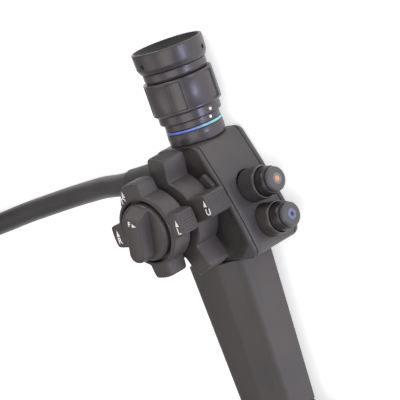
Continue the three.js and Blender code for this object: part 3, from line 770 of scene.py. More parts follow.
def side_level(x, y):
    """Height of the right side: a hollow about the knobs, inside a raised edge along the front."""
    edge = 1 - smooth_step(*EDGE_WIDTH, front_distance(x, y))
    reach = math.hypot(x, y)
    floor = HUB_LEVEL + (HOLLOW_LEVEL - HUB_LEVEL) * smooth_step(*HUB_RADIUS, reach)
    return floor + (EDGE_LEVEL - floor) * max(edge, smooth_step(*HOLLOW_RADIUS, reach))


def quarter_round(radius, steps):
    """Points round a rounded edge: each one's distance from the two faces that meet there."""
    angles = [math.pi / 2 * step / steps for step in range(steps + 1)]
    return [(radius * (1 - math.sin(a)), radius * (1 - math.cos(a))) for a in angles]


def body_rings():
    """Rings of the housing: up its outside, over the right side to the sleeve, and back inside."""
    outline = divided(rounded(BODY_CORNERS, BODY_ROUNDING), BODY_STEP)
    rings = [at_level(shrunk(outline, inset), level) for inset, level in SIDE_RINGS]
    for drop, inset in quarter_round(RIM_BEAD, 8):
        line = shrunk(outline, inset + RIM_STEP)
        rings.append([Vector((p.x, p.y, side_level(p.x, p.y) - drop)) * MM for p in line])
    top = shrunk(outline, RIM_BEAD)
    for step in range(1, FACE_RINGS + 1):
        share = (step / FACE_RINGS) ** FACE_SPREAD
        ring = [p.lerp(p.normalized() * SLEEVE_RADIUS, share) for p in top]
        rings.append([Vector((p.x, p.y, side_level(p.x, p.y))) * MM for p in ring])
    hole = [p.normalized() * SLEEVE_RADIUS for p in top]
    inner = shrunk(outline, BODY_WALL)
    for step in range(CEILING_RINGS + 1):
        ring = [low.lerp(high, step / CEILING_RINGS) for low, high in zip(hole, inner)]
        levels = [min(BODY_CEILING, side_level(p.x, p.y) - BODY_SKIN) for p in ring]
        rings.append([Vector((p.x, p.y, level)) * MM for p, level in zip(ring, levels)])
    rings.append(at_level(inner, BODY_FOOT))
    return rings


def carved(shape, cuts, added=()):
    """The mesh with the added ones joined on, and then with the cuts' space taken out of it."""
    work = link("work", shape, body_plastic)
    tools = []
    for operation, meshes in (("UNION", added), ("DIFFERENCE", cuts)):
        for mesh in meshes:
            modifier = work.modifiers.new("cut", "BOOLEAN")
            modifier.operation = operation
            modifier.solver = "EXACT"
            modifier.object = link("tool", mesh, body_plastic)
            tools.append(modifier.object)
    graph = bpy.context.evaluated_depsgraph_get()
    mesh = bpy.data.meshes.new_from_object(work.evaluated_get(graph))
    for spent in (work, *tools):
        bpy.data.objects.remove(spent)
    return settled(mesh)


def peg(radius, low, high, place, segments=64):
    return turned([(0, low), (radius, low), (radius, high), (0, high)], place, 0.001, segments)


VALVE_TILT = math.radians(5)
VALVE_LEVEL = 19.6
VALVE_PLACES = {"suction": (30.9, 1.9), "air_water": (32.9, -18.6)}
valve_way = Vector((math.cos(VALVE_TILT), math.sin(VALVE_TILT), 0))
valve_axes = {
    name: axis_at(Vector((x, y, VALVE_LEVEL)) * MM, valve_way) for name, (x, y) in VALVE_PLACES.items()
}
EYE = Vector((3.0, 0, 20.3)) * MM
eye_axis = axis_at(EYE, (0, 1, 0))
body_plastic = moulded("body_plastic", (0.054, 0.050, 0.050), (0.064, 0.055, 0.054), 0.43)

# Radius of each hole, and where it starts and ends along its own axis. The opening for the grip
# is a rectangle, cut from the low level to the high one.
VALVE_HOLE = (9.55, -9, 14)
EYE_HOLE = (13.8, 26, 40)
CORD_HOLE = (5, -3, 12)
GRIP_OPENING = [Vector(p) for p in ((-14, -40), (10.5, -40), (10.5, -28), (-14, -28))]
GRIP_OPENING_LEVELS = (12, 35)
body = link(
    "right_housing",
    carved(
        skinned(body_rings(), "joined"),
        [
            *(peg(*VALVE_HOLE, axis) for axis in valve_axes.values()),
            peg(*EYE_HOLE, eye_axis),
            peg(*CORD_HOLE, axis_at(BOOT_START, (1, 0, 0))),
            skinned([at_level(GRIP_OPENING, level) for level in GRIP_OPENING_LEVELS], "capped"),
        ],
    ),
    body_plastic,
)
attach(body, "control_section")
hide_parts("body_housing")

SCREW_PLACES = [(-9.3, 24), (9.6, 24.4), (15.5, -26)]

# Each screw hole's radius, start and end, and how many sides it is drawn with.
SCREW_HOLES = [((3.1, -1, 2.5), 40), ((1.75, -1, 6), 32)]

COVER_EDGE = 4.5
COVER_STEP = 1.6
COVER_MIDDLE = Vector((8, 0))
COVER_INSIDE = 5.2
COVER_FLOOR = 2.6
CAP_SHARE = 0.02
HAIR = 0.001


def cover_rings():
    """Rings of the cover: from the middle of its flat outside, round the rim, and back inside."""
    outline = divided(rounded(BODY_CORNERS, BODY_ROUNDING), COVER_STEP)
    flat = shrunk(outline, COVER_EDGE)
    rings = [at_level([COVER_MIDDLE.lerp(p, share) for p in flat], 0) for share in (CAP_SHARE, 0.5, 1)]
    for inset, level in quarter_round(COVER_EDGE, 10)[1:]:
        rings.append(at_level(shrunk(outline, inset + HAIR), level))
    inner = shrunk(outline, COVER_INSIDE)
    rings += [at_level(outline, BODY_SEAM - 0.25), at_level(shrunk(outline, 0.3), BODY_SEAM)]
    rings += [at_level(inner, BODY_SEAM), at_level(inner, COVER_FLOOR)]
    rings.append(at_level([COVER_MIDDLE.lerp(p, CAP_SHARE) for p in inner], COVER_FLOOR))
    return rings


screw_axes = [axis_at(Vector((x, y, 0)) * MM, (0, 0, 1)) for x, y in SCREW_PLACES]
cover = link(
    "left_lid",
    carved(
        skinned(cover_rings(), "capped"),
        [peg(*hole, axis, sides) for hole, sides in SCREW_HOLES for axis in screw_axes],
    ),
    body_plastic,
)
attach(cover, "control_section")
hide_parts("left_cover")

# Cover screws: three cross-slotted stainless screws with low cheese heads. They are sunk in the
# cover and hold it to the housing.
SCREW_PROFILE = [(0, 0.4), (2.3, 0.4), (2.8, 0.9), (2.8, 2.2), (1.4, 2.2), (1.4, 21.4), (1.0, 22), (0, 22)]
SLOT_BARS = [(3.6, 0.7, 1.6), (0.7, 3.6, 1.6)]
SLOT_MIDDLE = (0, 0, 0.4)
screw_steel = metal("screw_steel", (0.56, 0.57, 0.58), (0.44, 0.44, 0.45), 0.24, (1500, 1500, 1500))
upright = Matrix.Identity(4)


def slab(size, middle):
    """A plain block, used only to cut with."""
    work = bmesh.new()
    bmesh.ops.create_cube(work, size=1)
    bmesh.ops.scale(work, vec=Vector(size) * MM, verts=work.verts)
    bmesh.ops.translate(work, vec=Vector(middle) * MM, verts=work.verts)
    mesh = bpy.data.meshes.new("slab")
    work.to_mesh(mesh)
    work.free()
    return mesh


one_screw = link(
    "one_screw",
    carved(
        turned(SCREW_PROFILE, upright, 0.2, 32),
        [slab(bar, SLOT_MIDDLE) for bar in SLOT_BARS],
    ),
    screw_steel,
)
screw_tree = Tree("cover_screws", {"Screw": ("NodeSocketObject", one_screw)})
shape = screw_tree.node("GeometryNodeObjectInfo", {}, {"Object": screw_tree.given("Screw")}, "Geometry")
joined = screw_tree.tree.nodes.new("GeometryNodeJoinGeometry")
for x, y in SCREW_PLACES:
    inputs = {"Geometry": shape, "Translation": (x * MM, y * MM, 0)}
    spot = screw_tree.node("GeometryNodeTransform", {}, inputs)
    screw_tree.tree.links.new(spot, joined.inputs[0])
screws = screw_tree.run("lid_screws", joined.outputs[0], upright, screw_steel)
bpy.data.objects.remove(one_screw)
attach(screws, "control_section")
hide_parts("cover_screw_1", "cover_screw_2", "cover_screw_3")

# Grip: a hollow sleeve of the body's plastic, straight at the back and tapering at the front,
# where a stepped facet on each side gives the thumb an edge. The port block closes its end.
GRIP_TOP = -34
GRIP_END = -126
GRIP_LEVEL = 23.1
GRIP_BACK = -19.6
GRIP_WALL = 2.2
GRIP_EASE = 0.5
GRIP_RINGS = 12
GRIP_CREASE = 12
BACK_CORNER = 6
CORNER_LOSS = 0.7
SIDE_CORNER = 3
FRONT_CORNER = 2
GRIP_AT_TOP = {"depth": 18, "side": 5.3, "step": (14.6, 13.1), "front": (19.7, 12.4)}
GRIP_AT_END = {"depth": 14.3, "side": 0.4, "step": (9.4, 11.3), "front": (15.5, 10.5)}


def grip_outline(section, deep=0.0):
    """The grip's section at one end, drawn some depth inside its outside."""
    depth = section["depth"]
    half = [section["front"], section["step"], (section["side"], depth), (GRIP_BACK, depth)]
    corners = [(x, -y) for x, y in reversed(half)] + half
    sharp = shrunk([Vector(p) for p in corners], deep)
    radii = [BACK_CORNER - deep * CORNER_LOSS, SIDE_CORNER, 0, FRONT_CORNER]
    return rounded(sharp, radii + radii[::-1])


def grip_ring(y, deep=0.0):
    down = (GRIP_TOP - y) / (GRIP_TOP - GRIP_END)
    pairs = zip(grip_outline(GRIP_AT_TOP, deep), grip_outline(GRIP_AT_END, deep))
    line = [top.lerp(end, down) for top, end in pairs]
    return [Vector((p.x, y, GRIP_LEVEL + p.y)) * MM for p in line]


grip_rings = [grip_ring(GRIP_TOP, GRIP_EASE)]
wall_length = GRIP_END - GRIP_TOP + 2 * GRIP_EASE
for step in range(GRIP_RINGS + 1):
    grip_rings.append(grip_ring(GRIP_TOP - GRIP_EASE + wall_length * step / GRIP_RINGS))
grip_rings += [grip_ring(GRIP_END, deep) for deep in (GRIP_EASE, GRIP_WALL)]
grip_rings.append(grip_ring(GRIP_TOP, GRIP_WALL))
grip = link("grip", skinned(grip_rings, "joined", GRIP_CREASE), body_plastic)
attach(grip, "control_section")
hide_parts("grip_sleeve")

# Lower end: a port block of the grip's end section and plastic, with a channel port under a soft
# rubber cap, and the black plastic gland that takes the insertion tube.
PORT_START = -126.3
PORT_END = -155
END_MIDDLE = -2.05
PORT_FROM = Vector((END_MIDDLE + 8.5, -148, GRIP_LEVEL)) * MM
PORT_ANGLE = math.radians(35)
PORT_EDGE = 1.2
CHANNEL_HOLE = (2.2, 2, 22)


def port_ring(y, deep):
    line = grip_outline(GRIP_AT_END, deep)
    return [Vector((p.x, y, GRIP_LEVEL + p.y)) * MM for p in line]


port_rings = [port_ring(PORT_START - fall, inset) for inset, fall in quarter_round(PORT_EDGE, 4)]
port_rings += [port_ring(PORT_END + rise, inset) for rise, inset in quarter_round(PORT_EDGE, 4)]
port_axis = axis_at(PORT_FROM, (math.cos(PORT_ANGLE), math.sin(PORT_ANGLE), 0))
SPOUT_PROFILE = [(0, -2), (6.6, -2), (6.6, 10.5), (6.2, 11.5), (6.2, 18), (0, 18)]
spout = turned(SPOUT_PROFILE, port_axis, 0.5)
port = link(
    "channel_block",
    carved(
        skinned(port_rings, "capped", GRIP_CREASE),
        [peg(*CHANNEL_HOLE, port_axis, 40)],
        [spout],
    ),
    body_plastic,
)
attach(port, "control_section")
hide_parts("port_block")
CAP_PROFILE = [(1.6, 18.3), (6.3, 18.3), (7.4, 19.2), (7.4, 22.8), (5.8, 24), (2.6, 24), (1.6, 23)]
channel_cap = link("channel_cap", turned(CAP_PROFILE, port_axis, 0.7), boot_rubber)
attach(channel_cap, "control_section")
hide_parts("biopsy_cap")

black_plastic = moulded("black_plastic", (0.020, 0.020, 0.022), (0.028, 0.026, 0.027), 0.42)
GLAND_PROFILE = [
    (4.4, 155.3),
    (11.4, 155.3),
    (11.4, 164),
    (10.6, 166),
    (9.4, 168),
    (6.2, 168),
    (6.2, 158),
    (4.4, 158),
]
gland_axis = axis_at(Vector((END_MIDDLE, 0, GRIP_LEVEL)) * MM, (0, -1, 0))
gland = link("tube_gland", turned(GLAND_PROFILE, gland_axis, 0.5), black_plastic)
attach(gland, "control_section")
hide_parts("insertion_gland")
gland_grip = bars_round("gland_grip", 40, 11.15, 156.4, 163.4, 0.5, gland_axis, black_plastic)
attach(gland_grip, "control_section")

# Angulation knobs: lobed wheels of charcoal plastic, pressed on the two coaxial shafts. The big
# one bends the tip up and down, the small one right and left. Each lobe's outer face is ribbed.
# The first lobe's angle, and the half width of a lobe and the width of its flank, are in degrees.
UD_KNOB = {"lobes": 5, "first": 7.5, "half": 9.8, "flank": 8, "out": 34.3, "valley": 22.5}
RL_KNOB = {"lobes": 4, "first": 2.5, "half": 12, "flank": 9, "out": 26.8, "valley": 20}
UD_LEVELS = (43.1, 59.1)
RL_LEVELS = (63.1, 75.8)
KNOB_SAMPLES = 480
UD_EASE = 1.1
RL_EASE = 0.9
FLANK_EASE = 0.6
UD_INSIDE = [(18.9, 43.1), (18.5, 43.5), (18.5, 47.2), (6.9, 47.2), (6.9, 58.8), (7.2, 59.1), (17, 59.1)]
RL_INSIDE = [
    (18.9, 75.85),
    (18.75, 76.3),
    (18.2, 76.5),
    (17.75, 76.3),
    (17.6, 75.9),
    (17.6, 72.6),
    (4.1, 72.6),
    (4.1, 63.1),
]
knob_plastic = moulded("knob_plastic", (0.049, 0.044, 0.046), (0.058, 0.050, 0.050), 0.4)


def lobed_outline(shape):
    """The outline of a lobed wheel, seen along its axis."""
    pitch = 360 / shape["lobes"]
    made = []
    for k in range(KNOB_SAMPLES):
        degrees = 360 * k / KNOB_SAMPLES
        aside = abs((degrees - shape["first"] + pitch / 2) % pitch - pitch / 2)
        flank_end = shape["half"] + shape["flank"] + FLANK_EASE
        drop = smooth_step(shape["half"] - FLANK_EASE, flank_end, aside)
        radius = shape["out"] - (shape["out"] - shape["valley"]) * drop
        angle = math.radians(degrees)
        made.append(Vector((math.cos(angle), math.sin(angle))) * radius)
    return made


def round_ring(line, radius, level):
    """A round ring with a point in line with each of the outline's points."""
    return at_level([p.normalized() * radius for p in line], level)


def eased_wall(outline, low, high, ease):
    """Rings up a wall whose two rims are rounded."""
    edge = quarter_round(ease, 5)
    rings = [at_level(shrunk(outline, inset), low + rise) for inset, rise in edge]
    return rings + [at_level(shrunk(outline, inset), high - fall) for fall, inset in edge]


ud_line = lobed_outline(UD_KNOB)
ud_rings = eased_wall(ud_line, *UD_LEVELS, UD_EASE)
ud_rings += [round_ring(ud_line, radius, level) for radius, level in reversed(UD_INSIDE)]
ud_knob = link("up_down_wheel", skinned(ud_rings, "joined"), knob_plastic)
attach(ud_knob, "ud_knob_set")
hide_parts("ud_knob")

rl_line = lobed_outline(RL_KNOB)
rl_rings = eased_wall(rl_line, *RL_LEVELS, RL_EASE)
rl_rings += [round_ring(rl_line, radius, level) for radius, level in RL_INSIDE]
rl_knob = link("right_left_wheel", skinned(rl_rings, "joined"), knob_plastic)
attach(rl_knob, "rl_knob_set")
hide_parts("rl_knob")


def ribs(name, groups, first, count, spacing, radius, low, high, thick, body):
    """Upright ribs about the knob axis, in equal groups: one group on each lobe's outer face."""
    given = {
        "Groups": (WHOLE, groups),
        "Ribs": (WHOLE, count),
        "First": (SIZE, math.radians(first)),
        "Spacing": (SIZE, math.radians(spacing)),
        "Radius": (SIZE, radius * MM),
        "Middle": (SIZE, (low + high) / 2 * MM),
        "Length": (SIZE, (high - low) * MM),
        "Thickness": (SIZE, thick * MM),
    }
    tree = Tree(name, given)
    ribs_each = tree.given("Ribs")
    total = tree.maths("MULTIPLY", tree.given("Groups"), ribs_each)
    line = tree.node("GeometryNodeMeshLine", {}, {"Count": total, "Offset": (0, 0, 0)})
    index = tree.node("GeometryNodeInputIndex", {}, {})
    group = tree.maths("FLOOR", tree.maths("DIVIDE", index, ribs_each), 0.0)
    within = tree.maths("SUBTRACT", index, tree.maths("MULTIPLY", group, ribs_each))
    half_row = tree.maths("MULTIPLY", tree.maths("SUBTRACT", ribs_each, 1.0), 0.5)
    centred = tree.maths("SUBTRACT", within, half_row)
    pitch = tree.maths("DIVIDE", 2 * math.pi, tree.given("Groups"))
    lobe_angle = tree.maths("ADD", tree.given("First"), tree.maths("MULTIPLY", group, pitch))
    angle = tree.maths("ADD", lobe_angle, tree.maths("MULTIPLY", centred, tree.given("Spacing")))
    across = tree.maths("MULTIPLY", tree.maths("COSINE", angle, 0.0), tree.given("Radius"))
    along = tree.maths("MULTIPLY", tree.maths("SINE", angle, 0.0), tree.given("Radius"))
    spot = tree.node("ShaderNodeCombineXYZ", {}, {0: across, 1: along, 2: tree.given("Middle")})
    placed = tree.node("GeometryNodeSetPosition", {}, {"Geometry": line, "Position": spot})
    inputs = {"Vertices": 10, "Radius": tree.given("Thickness"), "Depth": tree.given("Length")}
    rib = tree.node("GeometryNodeMeshCylinder", {}, inputs)
    made = tree.run(name, tree.copies(placed, rib), upright, knob_plastic)
    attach(made, body)


ud_lobes, ud_first = UD_KNOB["lobes"], UD_KNOB["first"]
rl_lobes, rl_first = RL_KNOB["lobes"], RL_KNOB["first"]
ribs("up_down_ribs", ud_lobes, ud_first, 8, 2.4, 34.1, 44.4, 57.8, 0.55, "ud_knob_set")
ribs("right_left_ribs", rl_lobes, rl_first, 8, 3.0, 26.6, 64.3, 74.7, 0.55, "rl_knob_set")

# Locks: a flat lever with a ribbed tab under the big knob, and a winged knob on the spindle's
# end, which sits in the small knob's recess. Both are moulded in the knobs' plastic.
LEVER_LEVELS = (39.6, 42.4)
LEVER_RING = 19.5
LEVER_HOLE = 10.8
LEVER_EASE = 0.5
LEVER_STEPS = 120
TAB_END = 26
TAB_HALF = 4.6
TAB_CORNER = 1.4
TAB_DEGREES = 32
tab_root = math.asin(TAB_HALF / LEVER_RING)
lever_corners = [(TAB_END, -TAB_HALF), (TAB_END, TAB_HALF)]
for step in range(LEVER_STEPS + 1):
    angle = tab_root + (2 * math.pi - 2 * tab_root) * step / LEVER_STEPS
    lever_corners.append((LEVER_RING * math.cos(angle), LEVER_RING * math.sin(angle)))
lever_sharp = rounded(lever_corners, [TAB_CORNER] * 2 + [0] * (LEVER_STEPS + 1))
lever_turn = Matrix.Rotation(math.radians(TAB_DEGREES), 2)
lever_line = [lever_turn @ p for p in divided(lever_sharp, 1.0)]
lever_rings = eased_wall(lever_line, *LEVER_LEVELS, LEVER_EASE)
lever_rings += [round_ring(lever_line, LEVER_HOLE, level) for level in reversed(LEVER_LEVELS)]
lever = link("up_down_lock", skinned(lever_rings, "joined"), knob_plastic)
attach(lever, "ud_lock_lever")
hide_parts("ud_lock_lever")
ribs("lever_ribs", 1, TAB_DEGREES, 6, 3.3, TAB_END, 40.0, 42.0, 0.4, "ud_lock_lever")

LOCK_DISC = [(0, 74.3), (16, 74.3), (16, 77.5), (15.2, 78.4), (0, 78.4)]
LOCK_HOLE = (2.3, 70, 83.9)
WING_TOP = 86
WING_TURN = Matrix.Rotation(math.radians(-16), 4, "Z")
WING_FLAT_END = 10.8
WING_SLOPE = math.tan(math.radians(58))
WING_CORNER = 1
WING_ROUND_FLAT = 0.4

# Level, half width and half length of each section, from the wing's foot to its top.
WING_SECTIONS = [
    (77.4, 6.3, 15.25),
    (78.6, 5.6, 15.2),
    (79.8, 5.25, 15.1),
    (84.9, 5.15, 14.6),
    (85.6, 4.95, 14.3),
    (85.9, 4.6, 13.9),
    (WING_TOP, 4.2, 13.5),
]


def wing_ring(level, half_width, half_length):
    """A section of the wing: a round low end, and a flat slope at the end beside the mark."""
    upper = min(half_length, WING_FLAT_END + (WING_TOP - level) / WING_SLOPE)
    line = [
        (-half_width, -half_length),
        (half_width, -half_length),
        (half_width, upper),
        (-half_width, upper),
    ]
    radii = [half_width - WING_ROUND_FLAT] * 2 + [WING_CORNER] * 2
    return [WING_TURN @ p for p in at_level(rounded(line, radii, 10), level)]


lock_knob = link(
    "right_left_lock",
    carved(
        turned(LOCK_DISC, upright, 0.5, 128),
        [peg(*LOCK_HOLE, upright, 40)],
        [skinned([wing_ring(*section) for section in WING_SECTIONS], "capped")],
    ),
    knob_plastic,
)
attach(lock_knob, "rl_lock_knob")
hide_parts("rl_lock_knob")

# Control marks: small letters and arrows pressed in white paint on the lobes and on the wing.
# They are the common marks for up, down, left and right, and for the lock's free direction.
MARK_HEIGHT = 0.06
MARK_WEIGHT = 0.12
mark_paint = moulded("mark_paint", (0.80, 0.80, 0.81), (0.88, 0.88, 0.88), 0.5)


def letter(character, height):
    curve = bpy.data.curves.new("letter", "FONT")
    curve.body = character
    curve.size = height * MM
    curve.align_x = "CENTER"
    curve.align_y = "CENTER"
    curve.extrude = MARK_HEIGHT * MM
    curve.offset = MARK_WEIGHT * MM
    made = bpy.data.objects.new("letter", curve)
    bpy.context.scene.collection.objects.link(made)
    graph = bpy.context.evaluated_depsgraph_get()
    mesh = bpy.data.meshes.new_from_object(made.evaluated_get(graph))
    bpy.data.objects.remove(made)
    return mesh


def arrow(width, height):
    corners = [(-width / 2, -height / 2), (width / 2, -height / 2), (0, height / 2)]
    outline = [Vector(p) for p in corners]
    return skinned([at_level(outline, -MARK_HEIGHT), at_level(outline, MARK_HEIGHT)], "capped")


def mark(name, mesh, middle, turn, body):
    place = Matrix.Translation(Vector(middle) * MM)
    mesh.transform(place @ Matrix.Rotation(math.radians(turn), 4, "Z"))
    made = link(name, settled(mesh), mark_paint)
    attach(made, body)


# A mark's letter, the letter's place, its arrow's place, their level, and the wheel they are on.
WHEEL_MARKS = [
    ("U", (32.4, 1.2), (31.6, 6.1), UD_LEVELS[1], "ud_knob_set"),
    ("D", (-28.4, 13.4), (-27.4, 17.4), UD_LEVELS[1], "ud_knob_set"),
    ("L", (24.2, -2.2), (24.2, 2.2), RL_LEVELS[1], "rl_knob_set"),
    ("R", (-22.7, -3.4), (-22.7, 0.9), RL_LEVELS[1], "rl_knob_set"),
]
for character, (x, y), (arrow_x, arrow_y), level, wheel in WHEEL_MARKS:
    mark(f"letter_{character}", letter(character, 5.0), (x, y, level), 0, wheel)
    mark(f"arrow_{character}", arrow(2.4, 3.7), (arrow_x, arrow_y, level), 0, wheel)
mark("letter_F", letter("F", 3.9), (0.3, 8.0, WING_TOP), -18, "rl_lock_knob")
mark("arrow_F", arrow(2.0, 3.0), (3.4, 6.6, WING_TOP), -115, "rl_lock_knob")

# Valves: each cylinder has a round boss with a slightly paler rim ring, and a sprung rubber
# button stands in it: a dark skirt, and a cap with a paler ring round its coloured centre.
BOSS_PROFILE = [
    (3.4, -13),
    (6, -13),
    (6, -4.6),
    (9.3, -2.8),
    (9.3, 8.3),
    (8.9, 9),
    (8.3, 9),
    (8.3, 3.2),
    (3.4, 3.2),
]
BOSS_RIM_PROFILE = [(8.35, 8.7), (8.95, 8.7), (8.9, 9.08), (8.4, 9.08)]
SKIRT_PROFILE = [(0, -8), (3, -8), (3, 8.4), (7.9, 8.4), (7.9, 14.2), (7.3, 15.3), (0, 15.3)]
BUTTON_CAP_PROFILE = [
    (0, 15.0),
    (6.2, 15.0),
    (6.2, 15.8),
    (6.8, 16.0),
    (6.8, 17.5),
    (6.1, 18.4),
    (5.0, 18.55),
    (0, 18.45),
]
cylinder_plastic = moulded("cylinder_plastic", (0.040, 0.038, 0.038), (0.052, 0.045, 0.043), 0.33)
skirt_rubber = moulded("skirt_rubber", (0.018, 0.016, 0.018), (0.026, 0.021, 0.023), 0.34)
cap_rubber = moulded("cap_rubber", (0.062, 0.062, 0.066), (0.074, 0.071, 0.073), 0.42)
rim_grey = moulded("rim_grey", (0.085, 0.08, 0.078), (0.11, 0.10, 0.10), 0.35)
ring_grey = moulded("ring_grey", (0.15, 0.13, 0.12), (0.19, 0.17, 0.16), 0.4)
ring_blue = moulded("ring_blue", (0.11, 0.125, 0.22), (0.15, 0.165, 0.27), 0.35)
centre_orange = moulded("centre_orange", (0.44, 0.17, 0.10), (0.56, 0.28, 0.18), 0.35)
centre_navy = moulded("centre_navy", (0.008, 0.012, 0.05), (0.012, 0.018, 0.07), 0.3)
FACE_GAP = 0.1
BUTTON_FACES = {
    "suction": (ring_grey, 3.1, centre_orange, 1.7),
    "air_water": (ring_blue, 3.0, centre_navy, 1.1),
}
for name, axis in valve_axes.items():
    boss = link(f"{name}_boss", turned(BOSS_PROFILE, axis, 0.35), cylinder_plastic)
    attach(boss, "control_section")
    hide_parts(f"{name}_cylinder")
    rim = link(f"{name}_rim", turned(BOSS_RIM_PROFILE, axis, 0.1), rim_grey)
    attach(rim, "control_section")
    skirt = link(f"{name}_skirt", turned(SKIRT_PROFILE, axis, 0.5), skirt_rubber)
    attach(skirt, f"{name}_button")
    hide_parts(f"{name}_button")
    ring_paint, ring_radius, centre_paint, centre_radius = BUTTON_FACES[name]
    ring_hole = centre_radius + FACE_GAP
    ring_profile = [(ring_hole, 18.3), (ring_radius, 18.3), (ring_radius, 18.6), (ring_hole, 18.7)]
    centre_profile = [(0, 18.3), (centre_radius, 18.3), (centre_radius, 18.6), (0, 18.75)]
    for part, profile, paint in (
        ("cap", BUTTON_CAP_PROFILE, cap_rubber),
        ("ring", ring_profile, ring_paint),
        ("centre", centre_profile, centre_paint),
    ):
        made = link(f"{name}_{part}", turned(profile, axis, 0.2), paint)
        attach(made, f"{name}_button")

# Eyepiece: collars on the barrel, a blue colour code between two of them, painted pale green
# towards the camera's right as a painted highlight, the dioptre ring with five finger channels,
# the neck, and a rubber eyecup held by three set screws.
eye_plastic = moulded("eye_plastic", (0.048, 0.042, 0.047), (0.058, 0.048, 0.052), 0.3)
BASE_PROFILE = [(13.8, 32.7), (15.6, 32.7), (16, 36.7), (15.8, 39.4), (13.8, 39.4)]
INDEX_PROFILE = [(13.8, 41.4), (15.6, 41.4), (15.6, 45.1), (13.8, 45.1)]
NECK_PROFILE = [(13.8, 69.5), (17.2, 69.5), (17.8, 70.9), (17.8, 74.7), (13.8, 74.7)]
CUP_PROFILE = [
    (13.8, 75),
    (18.4, 75),
    (19.8, 77.8),
    (20.1, 86.1),
    (19.8, 86.9),
    (18.7, 86.9),
    (17.2, 84.7),
    (13, 81.2),
    (9, 81.2),
    (9, 80.9),
    (13.8, 80.9),
]
CODE_PROFILE = [(13.8, 39.7), (15.8, 39.7), (15.8, 41.1), (13.8, 41.1)]
for name, profile, node in (
    ("lower_collar", BASE_PROFILE, "base_collar"),
    ("mark_collar", INDEX_PROFILE, "index_collar"),
    ("upper_neck", NECK_PROFILE, "eyepiece_neck"),
):
    collar = link(name, turned(profile, eye_axis, 0.35, 144), eye_plastic)
    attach(collar, "control_section")
    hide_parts(node)

# The direction across the code ring, the camera's level right, in which its blue turns to a pale
# green painted highlight, and how fast, per metre.
HIGHLIGHT_WAY = (0.686, -0.728)
HIGHLIGHT_CHANGE = 30
code_paint_and_highlight = Finish("code_paint_and_highlight")
code_x = code_paint_and_highlight.node("ShaderNodeSeparateXYZ", {}, {"Vector": code_paint_and_highlight.place()}, "X")
code_z = code_paint_and_highlight.node("ShaderNodeSeparateXYZ", {}, {"Vector": code_paint_and_highlight.place()}, "Z")
# Painted highlight: the ring's real blue is mixed towards pale green on its side to the camera's right.
toward_highlight = HIGHLIGHT_WAY[0] * (code_x - EYE.x) + HIGHLIGHT_WAY[1] * (code_z - EYE.z)
highlight_share = code_paint_and_highlight.ramp(HIGHLIGHT_CHANGE * toward_highlight + 0.5, 0.42, 0.86)
code_grain = code_paint_and_highlight.noise(700, 2)
code_paint_and_highlight.surface(
    {
        "Base Color": code_paint_and_highlight.mix(highlight_share, (0.12, 0.17, 0.52), (0.24, 0.58, 0.58)),
        "Roughness": 0.25 + 0.1 * code_grain,
        "Normal": code_paint_and_highlight.relief(code_grain, 0.00001),
    }
)
code_ring = link("code_ring", turned(CODE_PROFILE, eye_axis, 0.3, 144), code_paint_and_highlight.material)
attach(code_ring, "control_section")
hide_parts("colour_ring")

CHANNELS = 5
CHANNEL_FIRST = 34.7
CHANNEL_HALF = (10.3, 11.8)
CHANNEL_DEPTH = 1.0
DIOPTRE_SAMPLES = 720

# Radius, place along the axis, and the share of the channels' depth that is cut there.
DIOPTRE_PROFILE = [
    (13.8, 45.4, 0),
    (17.1, 45.4, 0),
    (17.5, 45.8, 0),
    (17.5, 49.9, 0),
    (19.1, 50.9, 0),
    (19.4, 51.3, 0),
    (19.4, 52.0, 0),
    (19.3, 52.35, 0.5),
    (19.4, 52.6, 1),
    (19.4, 67.4, 1),
    (19.3, 67.65, 0.5),
    (19.4, 68.0, 0),
    (19.4, 68.7, 0),
    (18.9, 69.2, 0),
    (13.8, 69.2, 0),
    (13.8, 66.5, 0),
    (15.3, 66.5, 0),
    (15.3, 57.5, 0),
    (13.8, 57.5, 0),
]
dioptre_rings = []
pitch = 360 / CHANNELS
for radius, along, cut in DIOPTRE_PROFILE:
    ring = []
    for k in range(DIOPTRE_SAMPLES):
        degrees = 360 * k / DIOPTRE_SAMPLES
        aside = abs((degrees + 90 - CHANNEL_FIRST + pitch / 2) % pitch - pitch / 2)
        reach = radius - CHANNEL_DEPTH * (1 - smooth_step(*CHANNEL_HALF, aside)) * cut
        angle = math.radians(degrees)
        ring.append(Vector((reach * math.cos(angle), reach * math.sin(angle), along)) * MM)
    dioptre_rings.append([eye_axis @ p for p in ring])
dioptre = link("focus_ring", skinned(dioptre_rings, "joined"), eye_plastic)
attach(dioptre, "dioptre_ring")
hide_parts("dioptre_ring")


def round_eye(degrees):
    """A direction about the eyepiece axis, from the knob side towards the front."""
    return Vector((math.sin(math.radians(degrees)), 0, math.cos(math.radians(degrees))))


DOT_PROFILE = [(0, -0.3), (0.9, -0.3), (0.9, 0), (0.6, 0.08), (0, 0.1)]


def eye_dot(name, radius, along, degrees, body):
    """A white dot on the eyepiece, by which its settings are read."""
    way = round_eye(degrees)
    place = axis_at(EYE + Vector((0, along, 0)) * MM + way * radius * MM, way)
    dot = link(name, turned(DOT_PROFILE, place, 0.05, 32), mark_paint)
    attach(dot, body)


eye_dot("dioptre_dot", 17.5, 47.7, 85.8, "dioptre_ring")
eye_dot("index_dot", 15.6, 43.4, 86, "control_section")

